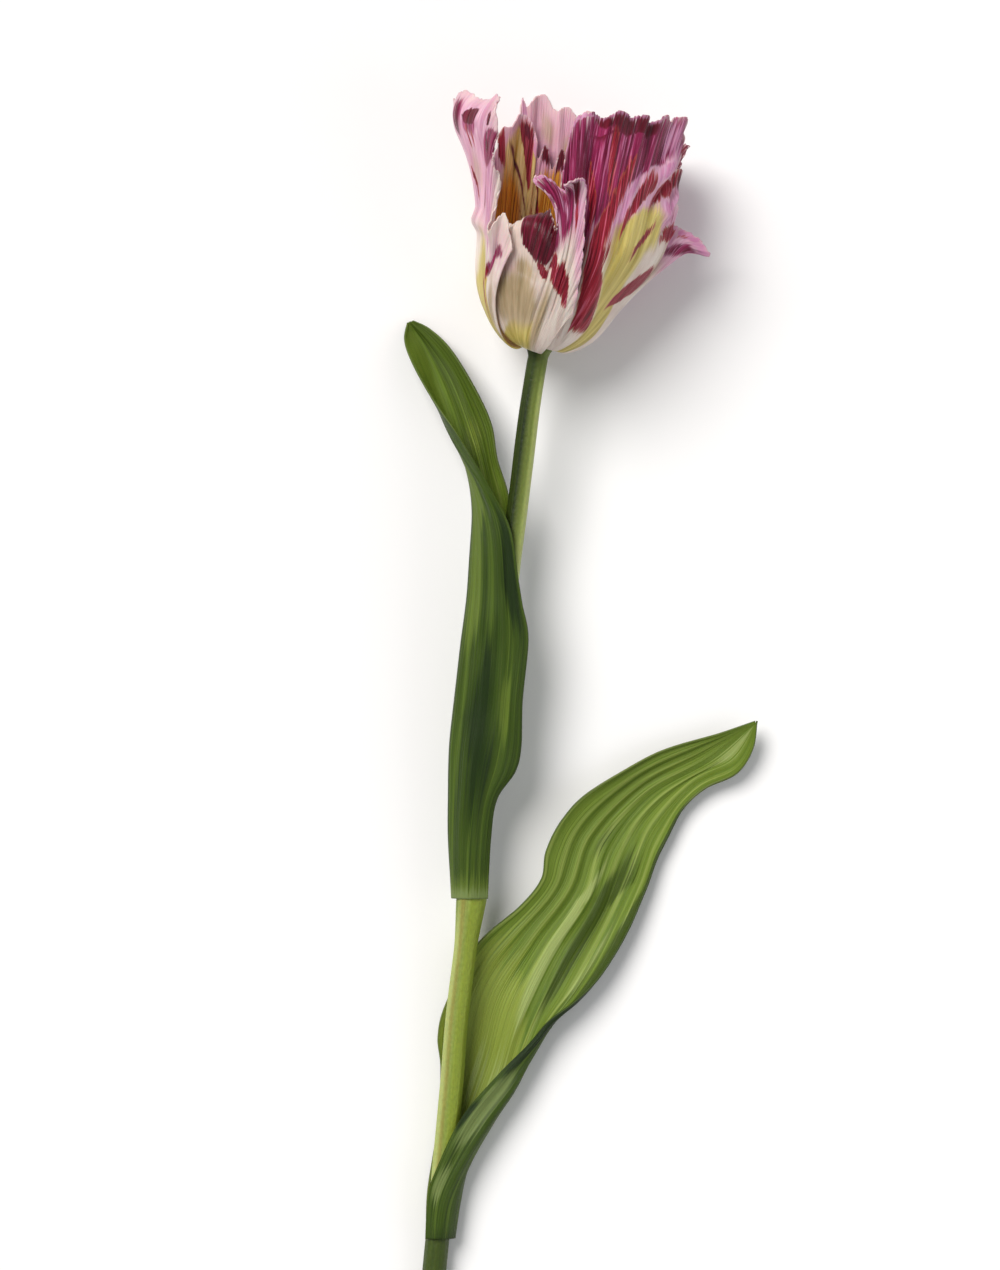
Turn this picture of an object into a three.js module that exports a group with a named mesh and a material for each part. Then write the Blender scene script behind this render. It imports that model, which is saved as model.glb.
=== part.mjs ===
import * as THREE from 'three';

// Cut parrot tulip, lying on a table. Millimetres, +Z up, the table is z = 0.
// The stem runs along +Y, the bloom is at the far end, its open cup is seen from above and aside.

// Driving dimensions
const stemRadius = 3.4;
const stemFootRadius = 4.1;
const stemSides = 16;
const neck = { x: -14.1, y: 122.4, z: 26.6 };
const bloomTurn = 7.5;
const bloomRise = 6.5;
const tepalThickness = 0.7;
const leafThickness = 0.9;
const receptacleRadius = 4.6;
const seatGap = 0.3;
const tepalColumns = 38;
const tepalRows = 11;
const leafStations = 34;
const leafColumns = 14;
const stamenCount = 6;

// How the six tepals lap over each other like the vanes of a pinwheel
const lapDistance = 3.3;
const lapRun = 5;
const lapTurn = 60;
const seatRadius = receptacleRadius + seatGap + tepalThickness / 2;
const seatHalfTurn = 24;

const degree = Math.PI / 180;

// Small helpers

function clamp(value, low, high) {
  return Math.min(high, Math.max(low, value));
}

function smooth(value) {
  const t = clamp(value, 0, 1);
  return t * t * (3 - 2 * t);
}

// Smooth curve through rows of numbers, t from 0 at the first row to 1 at the last.
function through(rows, t) {
  const place = clamp(t, 0, 1) * (rows.length - 1);
  const step = Math.min(Math.floor(place), rows.length - 2);
  const f = place - step;
  const before = rows[Math.max(step - 1, 0)];
  const from = rows[step];
  const to = rows[step + 1];
  const after = rows[Math.min(step + 2, rows.length - 1)];
  return from.map((value, i) => {
    const slope0 = (to[i] - before[i]) / 2;
    const slope1 = (after[i] - value) / 2;
    const rise = to[i] - value;
    const b = 3 * rise - 2 * slope0 - slope1;
    const c = slope0 + slope1 - 2 * rise;
    return value + f * (slope0 + f * (b + f * c));
  });
}

// Closed blade of even thickness on a grid of middle points, split alike on both faces.
function bladeGeometry(grid, thickness, table = null) {
  const across = grid.length;
  const along = grid[0].length;
  const positions = [];
  const edgeA = new THREE.Vector3();
  const edgeB = new THREE.Vector3();
  for (const side of [0.5, -0.5]) {
    for (let i = 0; i < across; i += 1) {
      for (let j = 0; j < along; j += 1) {
        edgeA.subVectors(grid[Math.min(i + 1, across - 1)][j], grid[Math.max(i - 1, 0)][j]);
        edgeB.subVectors(grid[i][Math.min(j + 1, along - 1)], grid[i][Math.max(j - 1, 0)]);
        const normal = edgeA.clone().cross(edgeB).normalize();
        const point = grid[i][j].clone().addScaledVector(normal, side * thickness);
        if (table) table(point, normal.z * side, thickness);
        positions.push(point.x, point.y, point.z);
      }
    }
  }
  const indices = [];
  const far = across * along;
  const at = (i, j) => i * along + j;
  for (let i = 0; i < across - 1; i += 1) {
    for (let j = 0; j < along - 1; j += 1) {
      const a = at(i, j);
      const b = at(i + 1, j);
      const c = at(i + 1, j + 1);
      const d = at(i, j + 1);
      indices.push(a, b, c, a, c, d);
      indices.push(far + a, far + c, far + b, far + a, far + d, far + c);
    }
  }
  const rim = [];
  for (let i = 0; i < across - 1; i += 1) rim.push(at(i, 0));
  for (let j = 0; j < along - 1; j += 1) rim.push(at(across - 1, j));
  for (let i = across - 1; i > 0; i -= 1) rim.push(at(i, along - 1));
  for (let j = along - 1; j > 0; j -= 1) rim.push(at(0, j));
  rim.forEach((a, i) => {
    const b = rim[(i + 1) % rim.length];
    indices.push(a, far + a, far + b, a, far + b, b);
  });
  const geometry = new THREE.BufferGeometry();
  geometry.setAttribute('position', new THREE.Float32BufferAttribute(positions, 3));
  geometry.setIndex(indices);
  geometry.computeVertexNormals();
  return geometry;
}

// Closed solid through rings of equal count, with a point at each end.
function ringGeometry(rings, start, end) {
  const sides = rings[0].length;
  const positions = [];
  for (const ring of rings) {
    for (const point of ring) positions.push(point.x, point.y, point.z);
  }
  positions.push(start.x, start.y, start.z, end.x, end.y, end.z);
  const first = rings.length * sides;
  const indices = [];
  for (let i = 0; i < sides; i += 1) {
    const next = (i + 1) % sides;
    for (let k = 0; k < rings.length - 1; k += 1) {
      const low = k * sides;
      const high = low + sides;
      indices.push(low + i, high + next, low + next, low + i, high + i, high + next);
    }
    const top = (rings.length - 1) * sides;
    indices.push(first, i, next);
    indices.push(first + 1, top + next, top + i);
  }
  const geometry = new THREE.BufferGeometry();
  geometry.setAttribute('position', new THREE.Float32BufferAttribute(positions, 3));
  geometry.setIndex(indices);
  geometry.computeVertexNormals();
  return geometry;
}

// Ring of a given outline in the plane square to a direction.
function ringAt(centre, right, front, outline, sides) {
  return Array.from({ length: sides }, (_, i) => {
    const turn = (i / sides) * 2 * Math.PI;
    const reach = outline(turn);
    return centre
      .clone()
      .addScaledVector(right, reach * Math.cos(turn))
      .addScaledVector(front, reach * Math.sin(turn));
  });
}

function material(colour, roughness) {
  return new THREE.MeshStandardMaterial({ color: colour, roughness, side: THREE.DoubleSide });
}

// Bloom frame: axis up the cup, right across it, front away from the table

const axis = new THREE.Vector3(
  Math.sin(bloomTurn * degree) * Math.cos(bloomRise * degree),
  Math.cos(bloomTurn * degree) * Math.cos(bloomRise * degree),
  Math.sin(bloomRise * degree),
);
const right = new THREE.Vector3(Math.cos(bloomTurn * degree), -Math.sin(bloomTurn * degree), 0);
const front = right.clone().cross(axis);
const seat = new THREE.Vector3(neck.x, neck.y, neck.z);

function inBloom(azimuth, radius, height) {
  return seat
    .clone()
    .addScaledVector(right, radius * Math.sin(azimuth * degree))
    .addScaledVector(front, radius * Math.cos(azimuth * degree))
    .addScaledVector(axis, height);
}

// Cup profile as radius and height, from the seat under the ovary to the open rim
const cupProfile = [
  [seatRadius, 1.6], [8.5, 0.3], [12.5, 1.8], [17, 6.2], [21.1, 12.8], [24.8, 20.5], [27.8, 28.5],
  [30, 37], [31.1, 46], [31.8, 56], [32.6, 65], [33.8, 74], [35.2, 83], [36.8, 92], [38.4, 101],
];
const profileSteps = 260;
const cup = [];
for (let i = 0; i <= profileSteps; i += 1) {
  const [radius, height] = through(cupProfile, i / profileSteps);
  const last = cup[i - 1];
  const run = last ? last.run + Math.hypot(radius - last.radius, height - last.height) : 0;
  cup.push({ radius, height, run });
}

function runAtHeight(height) {
  return cup.find((step) => step.run > 8 && step.height >= height).run;
}

function cupAtRun(run) {
  const after = Math.max(1, cup.findIndex((step) => step.run >= run));
  const a = cup[after - 1];
  const b = cup[after];
  const f = (run - a.run) / (b.run - a.run);
  return {
    radius: a.radius + f * (b.radius - a.radius),
    height: a.height + f * (b.height - a.height),
    slope: Math.atan2(b.height - a.height, b.radius - a.radius),
  };
}

// Tepals. A margin runs from the widest point on the left over the top to the widest on the right.
// A point is azimuth (0 faces front, 90 right) and height, then what the margin does there:
// lean turns it aside near its end, lift pushes it out, curl bends the upper half outward,
// hook bends the last tenth, slow lets the column reach its azimuth late.
const tepals = {
  tepal_left: {
    middle: -76, base: -85, curlFrom: 0.4,
    margin: [
      [-124, 36], [-122, 47, { lean: 2 }], [-120, 58, { lean: -4, curl: 16 }],
      [-117, 64, { lean: 2, curl: 22 }], [-114, 72, { lean: -2, curl: 26, lift: -1 }],
      [-108, 76, { curl: 30 }], [-100, 82, { curl: 32, hook: -20 }], [-88, 81, { curl: 33, hook: -40 }],
      [-76, 85.5, { curl: 32, hook: -70 }], [-63, 84, { curl: 26, hook: -90 }],
      [-53, 83, { lean: 9, curl: 18, hook: -60 }], [-50.5, 80, { lean: 14, curl: 13, lift: 1 }],
      [-49, 73, { lean: 13, curl: 12, lift: 1 }], [-47.5, 67, { lean: 7, curl: 12, slow: 2 }],
      [-46, 61, { lean: 5, curl: 8, lift: 1, slow: 5 }], [-44.5, 56, { lean: 4, slow: 9 }],
      [-43.5, 48, { lean: 1, slow: 16 }], [-42, 41, { lean: -1, lift: 3, slow: 28 }],
      [-40, 39, { lift: 4, slow: 48 }], [-36, 45, { lift: 1.5, lean: 3, slow: 88 }],
      [-29, 41, { lift: 1, slow: 148 }], [-25, 34, { lift: 0.5, slow: 200 }],
    ],
  },
  tepal_front: {
    middle: -24, base: -25,
    margin: [
      [-62, 30], [-56, 40], [-44, 42], [-36, 42, { hook: -60 }], [-28, 46, { hook: -120, lift: 1 }],
      [-19, 49, { hook: -140, lift: 2 }], [-9, 48, { hook: -110, lift: 2 }],
      [-2, 44, { hook: -40, lift: 1.5 }], [0, 41, { lean: 1, lift: 1 }],
      [4, 50, { lean: -5, lift: 2 }], [6, 61, { lean: -20, lift: 3.5, hook: 40 }],
      [7.5, 59, { lean: -16, lift: 3 }], [8.5, 55, { lean: -6, lift: 1 }],
      [9.5, 63, { lean: -8, lift: 2, hook: 60 }],
      [11, 65, { lean: -6, lift: 2, hook: 60 }], [13, 58, { lift: 1 }], [15, 47, { lift: 1.5 }],
      [17.5, 34, { lift: 1.5 }], [20, 24, { lift: 1 }], [23, 14],
    ],
  },
  tepal_right: {
    middle: 50, base: 42,
    margin: [
      [0, 54], [1, 70], [4, 78.5], [12, 81, { lift: 0.5 }], [19, 79, { lift: -1 }],
      [27, 82.5, { lift: 1 }], [34, 80.5, { lift: -1.5 }], [41, 82, { lift: 0.5 }],
      [47, 79, { lift: -1.5 }], [54, 82.5, { lift: 0.5 }], [60, 80, { lift: -1 }],
      [66, 82.5, { lift: 0.5 }], [70, 78.5, { lift: 0.5 }], [73, 70],
      [75, 61.5, { lean: -3, lift: -1 }],
      [79, 65], [83, 61.5], [86, 54.5, { lean: -2, lift: -1 }],
      [88, 51.5, { lean: 1, lift: 1.5 }], [90.5, 46, { lean: -1, lift: -0.5 }],
      [92, 47, { lean: 1, lift: 10, hook: 25, slow: -2 }],
      [94, 45, { lean: 1, lift: 13, hook: 25, slow: -5 }],
      [95, 41, { lift: 5, slow: -8 }], [96, 36, { lean: -2, slow: -10 }], [97, 30, { slow: -12 }],
      [98, 23, { slow: -13 }],
    ],
  },
  tepal_right_back: {
    middle: 105, base: 97,
    margin: [
      [60, 36], [62, 48], [66, 57], [72, 62], [79, 58, { lift: -1.5 }], [86, 63],
      [94, 62, { lift: 1.5 }],
      [101, 73, { hook: 30 }], [109, 71, { lift: 2 }], [116, 75, { hook: 40 }], [124, 69],
      [130, 72, { lift: 2 }], [136, 64], [141, 62, { lean: 3, lift: 3, hook: 40 }],
      [145, 54, { lean: -2 }], [148, 48, { lean: 2, lift: 2.5 }], [150, 40, { lean: -2 }], [152, 30],
    ],
  },
  tepal_back: {
    middle: 160, base: 155,
    margin: [
      [108, 36], [110, 50], [116, 61], [124, 69], [130, 66, { lift: -1.5 }], [138, 73], [147, 70],
      [154, 76, { lift: -1.5 }], [162, 74], [169, 80], [176, 78, { lift: 1 }], [182, 81, { lift: 1 }],
      [188, 79], [194, 84, { lift: 1.5 }], [200, 83], [204, 79.5, { lean: 1 }],
      [207, 82, { lean: 1, lift: 1 }], [208.5, 75, { lean: 1 }], [209.5, 68, { lean: -1 }],
      [211, 60, { lean: 1, lift: 2 }], [212, 52, { lean: -1 }], [213, 44, { lean: 1, lift: 2 }],
      [214, 32],
    ],
  },
  tepal_left_back: {
    middle: 210, base: 215,
    margin: [
      [162, 36], [164, 48], [169, 57], [177, 60], [182, 66, { lift: -1 }], [187, 59],
      [193, 67, { lift: -1 }], [197, 62], [200, 71], [206, 76], [213, 76], [220, 72, { lift: -1.5 }],
      [227, 71], [231, 62, { lean: -1, lift: 1 }], [234, 57], [238, 50, { lift: 1 }], [241, 46],
      [243, 38], [244, 28],
    ],
  },
};

const marginTraits = ['lean', 'lift', 'curl', 'hook', 'slow'];
const curlStart = 0.5;
const hookStart = 0.86;
const fanRun = 22;
const toothPower = 4;
const leanPower = 8;
const liftPower = 6;
const pathSteps = 8;
const calmOffsets = [-0.12, -0.08, -0.04, 0, 0.04, 0.08, 0.12];

// How much wider the cup is on its right side than on its left
const sideBias = 0.145;
const biasFrom = 12;
const biasTo = 38;

// The belly sits higher on the right side
const bellyRise = 1.5;
const bellyRun = 8;

// Shallow lengthwise folds that all tepals share, so that the laps stay clear
const foldDepth = 0.5;
const foldCount = 9;
const foldRun = 30;

function marginRows(tepal) {
  return tepal.margin.map(([azimuth, height, traits = {}]) => [
    azimuth,
    height,
    ...marginTraits.map((name) => traits[name] ?? 0),
  ]);
}

// Azimuth and length that a margin has without its teeth and notches.
function calmMargin(rows, u) {
  const near = calmOffsets.map((offset) => through(rows, u + offset));
  const mean = (values) => values.reduce((sum, value) => sum + value, 0) / values.length;
  return {
    azimuth: mean(near.map((row) => row[0])),
    length: mean(near.map((row) => runAtHeight(row[1]))),
  };
}

// Middle points of one tepal column, from its seat to its margin.
// Low down the columns follow the calm margin, and near their ends each goes to its own tooth.
function tepalColumn(tepal, rows, u) {
  const [azimuth, height, lean, lift, curl, hook, slow] = through(rows, u);
  const curlFrom = tepal.curlFrom ?? curlStart;
  const length = runAtHeight(height);
  const calm = calmMargin(rows, u);
  const root = tepal.base + seatHalfTurn * (2 * u - 1);
  const reached = (run) => 1 - Math.exp(-run / (fanRun + slow));
  const path = (run) => root + ((calm.azimuth - root) * reached(run)) / reached(calm.length);
  const runAt = (v) => calm.length * v + (length - calm.length) * v ** 3;
  const steps = tepalRows * pathSteps;
  const points = [];
  let radius = seatRadius;
  let level = cup[0].height;
  for (let step = 0; step <= steps; step += 1) {
    const v = step / steps;
    const run = runAt(v);
    const here = cupAtRun(run);
    const curled = smooth((v - curlFrom) / (1 - curlFrom));
    const hooked = smooth((v - hookStart) / (1 - hookStart));
    const slope = here.slope - (curl * curled + hook * hooked) * degree;
    if (v <= curlFrom) {
      radius = here.radius;
      level = here.height;
    } else {
      const stride = run - runAt(v - 1 / steps);
      radius += stride * Math.cos(slope);
      level += stride * Math.sin(slope);
    }
    if (step % pathSteps > 0) continue;
    const turn = path(run) + (azimuth - path(length)) * v ** toothPower + lean * v ** leanPower;
    const lap = lapDistance * (1 - Math.exp(-run / lapRun)) * ((turn - tepal.middle) / lapTurn);
    const fold = foldDepth * Math.cos(foldCount * turn * degree) * smooth(level / foldRun);
    const out = lap + fold + lift * v ** liftPower;
    const aside = Math.sin(turn * degree);
    const bias = 1 + sideBias * smooth((level - biasFrom) / (biasTo - biasFrom)) * aside;
    const rise = bellyRise * Math.max(0, aside) * smooth(run / bellyRun);
    const reach = (radius + out * Math.sin(slope)) * bias;
    points.push(inBloom(turn, reach, level + rise - out * Math.cos(slope)));
  }
  return points;
}

// The table flattens what would reach below it: a small flat spot under the cup.
function restOnTable(point, facing, thickness) {
  point.z = Math.max(point.z, facing > 0 ? thickness : 0);
}

function tepalGeometry(tepal) {
  const rows = marginRows(tepal);
  const shares = Array.from({ length: tepalColumns + 1 }, (_, i) => i / tepalColumns);
  const grid = shares.map((u) => tepalColumn(tepal, rows, u));
  return bladeGeometry(grid, tepalThickness, restOnTable);
}

// Stem: a bent round rod from its plain cut end to the receptacle in the cup

// Centre line as x, y, z from the cut end to the neck
const stemLine = [
  [-51.6, -207.5, 4.1], [-49.4, -188.0, 5.3], [-45.2, -143.2, 8.1], [-43.4, -123.4, 9.4],
  [-41.9, -104.2, 10.8], [-39.0, -80.0, 12.6], [-37.0, -63.4, 14.0], [-32.8, -29.4, 16.5],
  [-28.9, 4.6, 19.0], [-24.0, 48.9, 21.9], [-20.8, 73.8, 23.3], [-17.4, 101.5, 25.2],
  [neck.x, neck.y, neck.z],
];
const stemSteps = 24;

// The collar that the upper leaf stands on: its lower end, its upper end and its swelling
const collar = { from: -81, to: -63.4, swell: 1.15, step: 0.6, clear: 2 };
const collarShares = [0, 0.35, 0.65, 0.85, 1];
// Radius and height of the receptacle, on the bloom's own axis
const receptacle = [
  [3.4, -2.4], [3.9, -0.8], [receptacleRadius, 0.5], [receptacleRadius, 2.2], [4.1, 2.8],
];
const receptacleTop = 2.9;
const stemTop = neck.y - 5;

function stemCentre(y) {
  let low = 0;
  let high = 1;
  for (let i = 0; i < 30; i += 1) {
    const t = (low + high) / 2;
    if (through(stemLine, t)[1] < y) low = t;
    else high = t;
  }
  return new THREE.Vector3(...through(stemLine, low));
}

function stemRadiusAt(y) {
  const foot = stemLine[0][1];
  const taper = stemFootRadius + ((stemRadius - stemFootRadius) * (y - foot)) / (neck.y - foot);
  const onCollar = y <= collar.to ? smooth((y - collar.from) / (collar.to - collar.from)) : 0;
  return taper + collar.swell * onCollar;
}

function stemGeometry() {
  const foot = stemLine[0][1];
  const spacing = (stemTop - foot) / stemSteps;
  const heights = Array.from({ length: stemSteps + 1 }, (_, i) => foot + i * spacing)
    .filter((y) => y < collar.from || y > collar.to + collar.clear);
  for (const share of collarShares) {
    heights.push(collar.from + share * (collar.to - collar.from));
  }
  heights.push(collar.to + collar.step);
  heights.sort((a, b) => a - b);
  const rings = heights.map((y) => {
    const along = stemCentre(y + 1).sub(stemCentre(y - 1)).normalize();
    const side = new THREE.Vector3(0, 0, 1).cross(along).negate().normalize();
    return ringAt(stemCentre(y), side, side.clone().cross(along), () => stemRadiusAt(y), stemSides);
  });
  for (const [radius, height] of receptacle) {
    rings.push(ringAt(inBloom(0, 0, height), right, front, () => radius, stemSides));
  }
  return ringGeometry(rings, stemCentre(foot), inBloom(0, 0, receptacleTop));
}

// Pistil: three-sided ovary under a stigma of three lobes, as radius and height
const pistil = [
  [1.9, 3.2], [2.6, 5], [3.1, 9], [3.1, 14], [2.6, 18], [2.1, 20.5], [3.0, 22], [3.6, 23.2],
  [2.6, 24.2],
];
const pistilSides = 18;
const ovaryLobes = 0.07;
const stigma = { from: 21, lobes: 0.24, middle: 23.6 };

function pistilGeometry() {
  const rings = pistil.map(([radius, height]) => {
    const lobes = height > stigma.from ? stigma.lobes : ovaryLobes;
    const outline = (turn) => radius * (1 + lobes * Math.cos(3 * turn));
    return ringAt(inBloom(0, 0, height), right, front, outline, pistilSides);
  });
  return ringGeometry(rings, inBloom(0, 0, pistil[0][1]), inBloom(0, 0, stigma.middle));
}

// Stamens: a thin filament and a long anther, leaning out from the ovary
const stamen = { ring: 3.35, lean: 15, sides: 8, base: 3.2, tip: 20.9 };
// Radius across, and distance up the stamen
const stamenOutline = [
  [0.5, 0], [0.55, 4], [0.45, 8], [1.1, 9], [1.5, 11], [1.6, 15], [1.3, 19], [0.6, 20.6],
];

function stamenGeometry(azimuth) {
  const lean = stamen.lean * degree;
  const { ring, base, sides } = stamen;
  const at = (up) => inBloom(azimuth, ring + up * Math.sin(lean), base + up * Math.cos(lean));
  const along = at(1).sub(at(0)).normalize();
  const side = axis.clone().cross(along).normalize();
  const out = side.clone().cross(along).negate();
  const rings = stamenOutline.map(([radius, up]) => ringAt(at(up), out, side, () => radius, sides));
  return ringGeometry(rings, at(0), at(stamen.tip));
}

// Leaves: a blade through five rails, from the sheath round the stem to the tip.
// A rail is a run of points x, y, z; all rails are divided alike by their own length.
const leaves = {
  leaf_upper: {
    rails: {
      nearMargin: [
        [-31.4, -62.2, 17.3], [-30.3, -41.3, 19.5], [-28.2, -28.4, 21.5], [-22.1, -19.2, 23],
        [-20.1, -10.7, 24], [-19.7, 4.6, 25.5], [-17.7, 25, 26.5], [-19.7, 36.9, 27],
        [-21.1, 45.4, 27.5], [-23.8, 62.4, 28], [-30.6, 76, 27], [-40.8, 93, 22.5],
        [-50.7, 107.6, 17], [-57.1, 119.5, 10.5], [-59.5, 127, 5.5], [-58.5, 132.8, 2.2],
      ],
      nearFlank: [
        [-37.4, -62.2, 19.8], [-36.4, -41.3, 21.6], [-34, -22.6, 24], [-30.6, -2.2, 26],
        [-28.6, 21.6, 28], [-28.2, 42, 29], [-29.6, 62.4, 28.5], [-34.7, 77.7, 25],
        [-43.5, 93, 17], [-49, 106.6, 10], [-53.9, 120.2, 5], [-57.5, 127.7, 2.6],
        [-58.5, 132.8, 2],
      ],
      back: [
        [-43.4, -62.2, 14], [-44.2, -39.6, 15], [-43.7, -12.4, 17], [-41.2, 13.1, 19.5],
        [-38.4, 35.2, 21], [-36.8, 55.6, 21.5], [-36.5, 70.9, 20], [-39, 86.2, 15.5],
        [-43.2, 101.5, 9], [-49, 116.8, 3.2], [-54.1, 127, 0.6], [-58.1, 133.1, 1.4],
      ],
      farFlank: [
        [-37.4, -62.2, 8.2], [-36.4, -41.3, 9], [-34, -22.6, 9.5], [-30.6, -2.2, 10.5],
        [-28.6, 21.6, 12], [-28.2, 42, 13.5], [-29.2, 62.4, 14.5], [-31.6, 79.4, 13.5],
        [-36, 96.4, 11.5], [-42.5, 113.4, 7.5], [-50.3, 125.3, 3.5], [-57.5, 133.1, 1.8],
      ],
      farMargin: [
        [-31.4, -62.2, 10.7], [-30.3, -41.3, 10.5], [-27.2, -19.2, 11], [-23.1, 4.6, 12],
        [-22.1, 25, 13], [-22.4, 42, 14], [-23.1, 59, 15], [-24.5, 74.3, 16.5],
        [-28.2, 86.2, 17.5], [-30.3, 98.1, 17], [-35.7, 110, 15], [-43.9, 123.3, 10],
        [-51, 130.4, 5.5], [-56.8, 133.5, 2.4],
      ],
    },
    pleats: 7,
    pleatDepth: 0.45,
  },
  leaf_lower: {
    rails: {
      rearMargin: [
        [-52.2, -177.7, 2.7], [-51.8, -162, 3.4], [-48.4, -139.9, 3.6], [-47.3, -120.5, 4.6],
        [-48.3, -109.3, 5], [-45.6, -98.1, 6], [-35.4, -78.4, 7], [-20.4, -65.1, 8],
        [-13.3, -55.9, 9], [-11.6, -46.4, 10], [-6.1, -35.5, 10], [3.4, -26, 9.5],
        [25.5, -13.4, 7.5], [47.6, -6.6, 7.5], [59.2, -2.4, 8.5],
      ],
      rearFlank: [
        [-48, -178, 0.7], [-46.4, -165.4, 1.2], [-43.5, -146.7, 1.9], [-40.1, -129.7, 2],
        [-35.7, -112.7, 2], [-30.6, -94, 3.5], [-18.7, -76.3, 4.5], [-5.8, -59.3, 5],
        [1.7, -40.3, 4.5], [18.7, -23.6, 4], [40.8, -12.4, 5], [59.2, -2.8, 8.4],
      ],
      back: [
        [-42.6, -177.7, 6], [-40.8, -165.4, 6.4], [-38.1, -152.5, 5], [-32.6, -138.2, 4.5],
        [-25.5, -124.6, 3.8], [-18.7, -104.2, 3.5], [-8.5, -82.1, 2.5], [3.4, -63.4, 1.6],
        [10.2, -44.7, 1], [24.5, -27.7, 1.4], [44.9, -15.8, 4], [59.4, -3.2, 8.3],
      ],
      frontFlank: [
        [-46.9, -177.7, 11.1], [-44.8, -164.7, 11.8], [-38.4, -151.1, 11.6], [-30.6, -138.9, 11],
        [-21.4, -125.6, 10], [-11.9, -107.6, 8.5], [-1.7, -94, 6], [8.5, -76.3, 3.5],
        [17.7, -56.6, 2], [24.8, -38.9, 1.6], [38.4, -23.6, 3], [52.7, -15.8, 6],
        [59.7, -2.8, 8.4],
      ],
      frontMargin: [
        [-52.4, -177.7, 9], [-51.5, -162.7, 9.9], [-48.6, -153.5, 12.4], [-39.8, -135.8, 13.2],
        [-27.2, -121.2, 13.2], [-16.7, -111, 13], [-10.2, -103.9, 12.5], [-1.7, -97.4, 11.5],
        [7.8, -87.9, 9.5], [16.3, -73.6, 8], [22.1, -60, 6.8], [25.8, -49.8, 6],
        [29.6, -42.3, 5.6], [34.7, -32.5, 5.6], [42.5, -25.3, 6], [53, -20.2, 7.2],
        [58.5, -11.7, 8.4], [59.8, -2.4, 8.6],
      ],
    },
    pleats: 7,
    pleatDepth: 0.5,
  },
};
const railSteps = 240;
const pleatFade = 0.2;

// Points of a rail, divided evenly by length.
function railPoints(rail, count) {
  const fine = Array.from({ length: railSteps + 1 }, (_, i) => through(rail, i / railSteps));
  const runs = [0];
  for (let i = 1; i <= railSteps; i += 1) {
    runs.push(runs[i - 1] + Math.hypot(...fine[i].map((value, k) => value - fine[i - 1][k])));
  }
  return Array.from({ length: count + 1 }, (_, j) => {
    const run = (j / count) * runs[railSteps];
    const after = clamp(runs.findIndex((length) => length >= run), 1, railSteps);
    const f = clamp((run - runs[after - 1]) / (runs[after] - runs[after - 1]), 0, 1);
    return fine[after].map((value, k) => fine[after - 1][k] + f * (value - fine[after - 1][k]));
  });
}

function leafGeometry(leaf) {
  const rails = Object.values(leaf.rails).map((rail) => railPoints(rail, leafStations));
  const grid = Array.from({ length: leafColumns + 1 }, () => []);
  const nearby = 0.01;
  for (let j = 0; j <= leafStations; j += 1) {
    const section = rails.map((rail) => rail[j]);
    const next = rails[2][Math.min(j + 1, leafStations)];
    const last = rails[2][Math.max(j - 1, 0)];
    const along = new THREE.Vector3(...next).sub(new THREE.Vector3(...last));
    const share = j / leafStations;
    const fade = smooth(share / pleatFade) * smooth((1 - share) / pleatFade);
    for (let i = 0; i <= leafColumns; i += 1) {
      const q = i / leafColumns;
      const point = new THREE.Vector3(...through(section, q));
      const ahead = new THREE.Vector3(...through(section, Math.min(q + nearby, 1)));
      const behind = new THREE.Vector3(...through(section, Math.max(q - nearby, 0)));
      const normal = ahead.sub(behind).cross(along).normalize();
      const pleat = leaf.pleatDepth * Math.cos(2 * Math.PI * leaf.pleats * q) * fade;
      grid[i].push(point.addScaledVector(normal, pleat));
    }
  }
  return bladeGeometry(grid, leafThickness, restOnTable);
}

// The tulip

const tulip = new THREE.Group();

function add(name, geometry, look) {
  const mesh = new THREE.Mesh(geometry, look);
  mesh.name = name;
  tulip.add(mesh);
}

add('stem', stemGeometry(), material('#8fa55a', 0.55));
for (const [name, leaf] of Object.entries(leaves)) {
  add(name, leafGeometry(leaf), material('#5e8233', 0.5));
}
for (const [name, tepal] of Object.entries(tepals)) {
  add(name, tepalGeometry(tepal), material('#d9a9c4', 0.6));
}
add('pistil', pistilGeometry(), material('#b9c46a', 0.5));
for (let i = 0; i < stamenCount; i += 1) {
  add(`stamen_${i + 1}`, stamenGeometry(((i + 0.5) * 360) / stamenCount), material('#3a2238', 0.7));
}

export default tulip;
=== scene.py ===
from bisect import bisect_left
from math import atan2, cos, dist, exp, hypot, pi, sin

import bmesh
import bpy
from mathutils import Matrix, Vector
from mathutils.noise import noise


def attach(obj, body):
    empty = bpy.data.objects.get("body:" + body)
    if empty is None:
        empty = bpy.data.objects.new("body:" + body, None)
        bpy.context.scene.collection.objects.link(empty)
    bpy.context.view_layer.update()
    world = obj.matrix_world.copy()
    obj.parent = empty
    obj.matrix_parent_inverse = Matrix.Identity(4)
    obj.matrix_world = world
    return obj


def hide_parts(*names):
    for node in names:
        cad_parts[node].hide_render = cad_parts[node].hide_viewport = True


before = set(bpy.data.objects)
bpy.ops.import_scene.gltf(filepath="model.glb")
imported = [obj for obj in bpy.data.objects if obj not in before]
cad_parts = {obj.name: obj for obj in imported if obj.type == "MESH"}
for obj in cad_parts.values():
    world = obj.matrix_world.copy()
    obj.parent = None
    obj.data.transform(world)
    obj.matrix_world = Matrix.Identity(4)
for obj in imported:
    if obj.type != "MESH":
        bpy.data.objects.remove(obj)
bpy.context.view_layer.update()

# The cut tulip lies along +Y on the table z = 0. Measures are millimetres until a mesh is made.
metre = 0.001
degree = pi / 180


# Small helpers

def clamp(value, low=0.0, high=1.0):
    return min(high, max(low, value))


def smooth(value):
    t = clamp(value)
    return t * t * (3 - 2 * t)


def ramp(value, start, end=1):
    # 0 before the start, 1 past the end
    return smooth((value - start) / (end - start))


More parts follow.
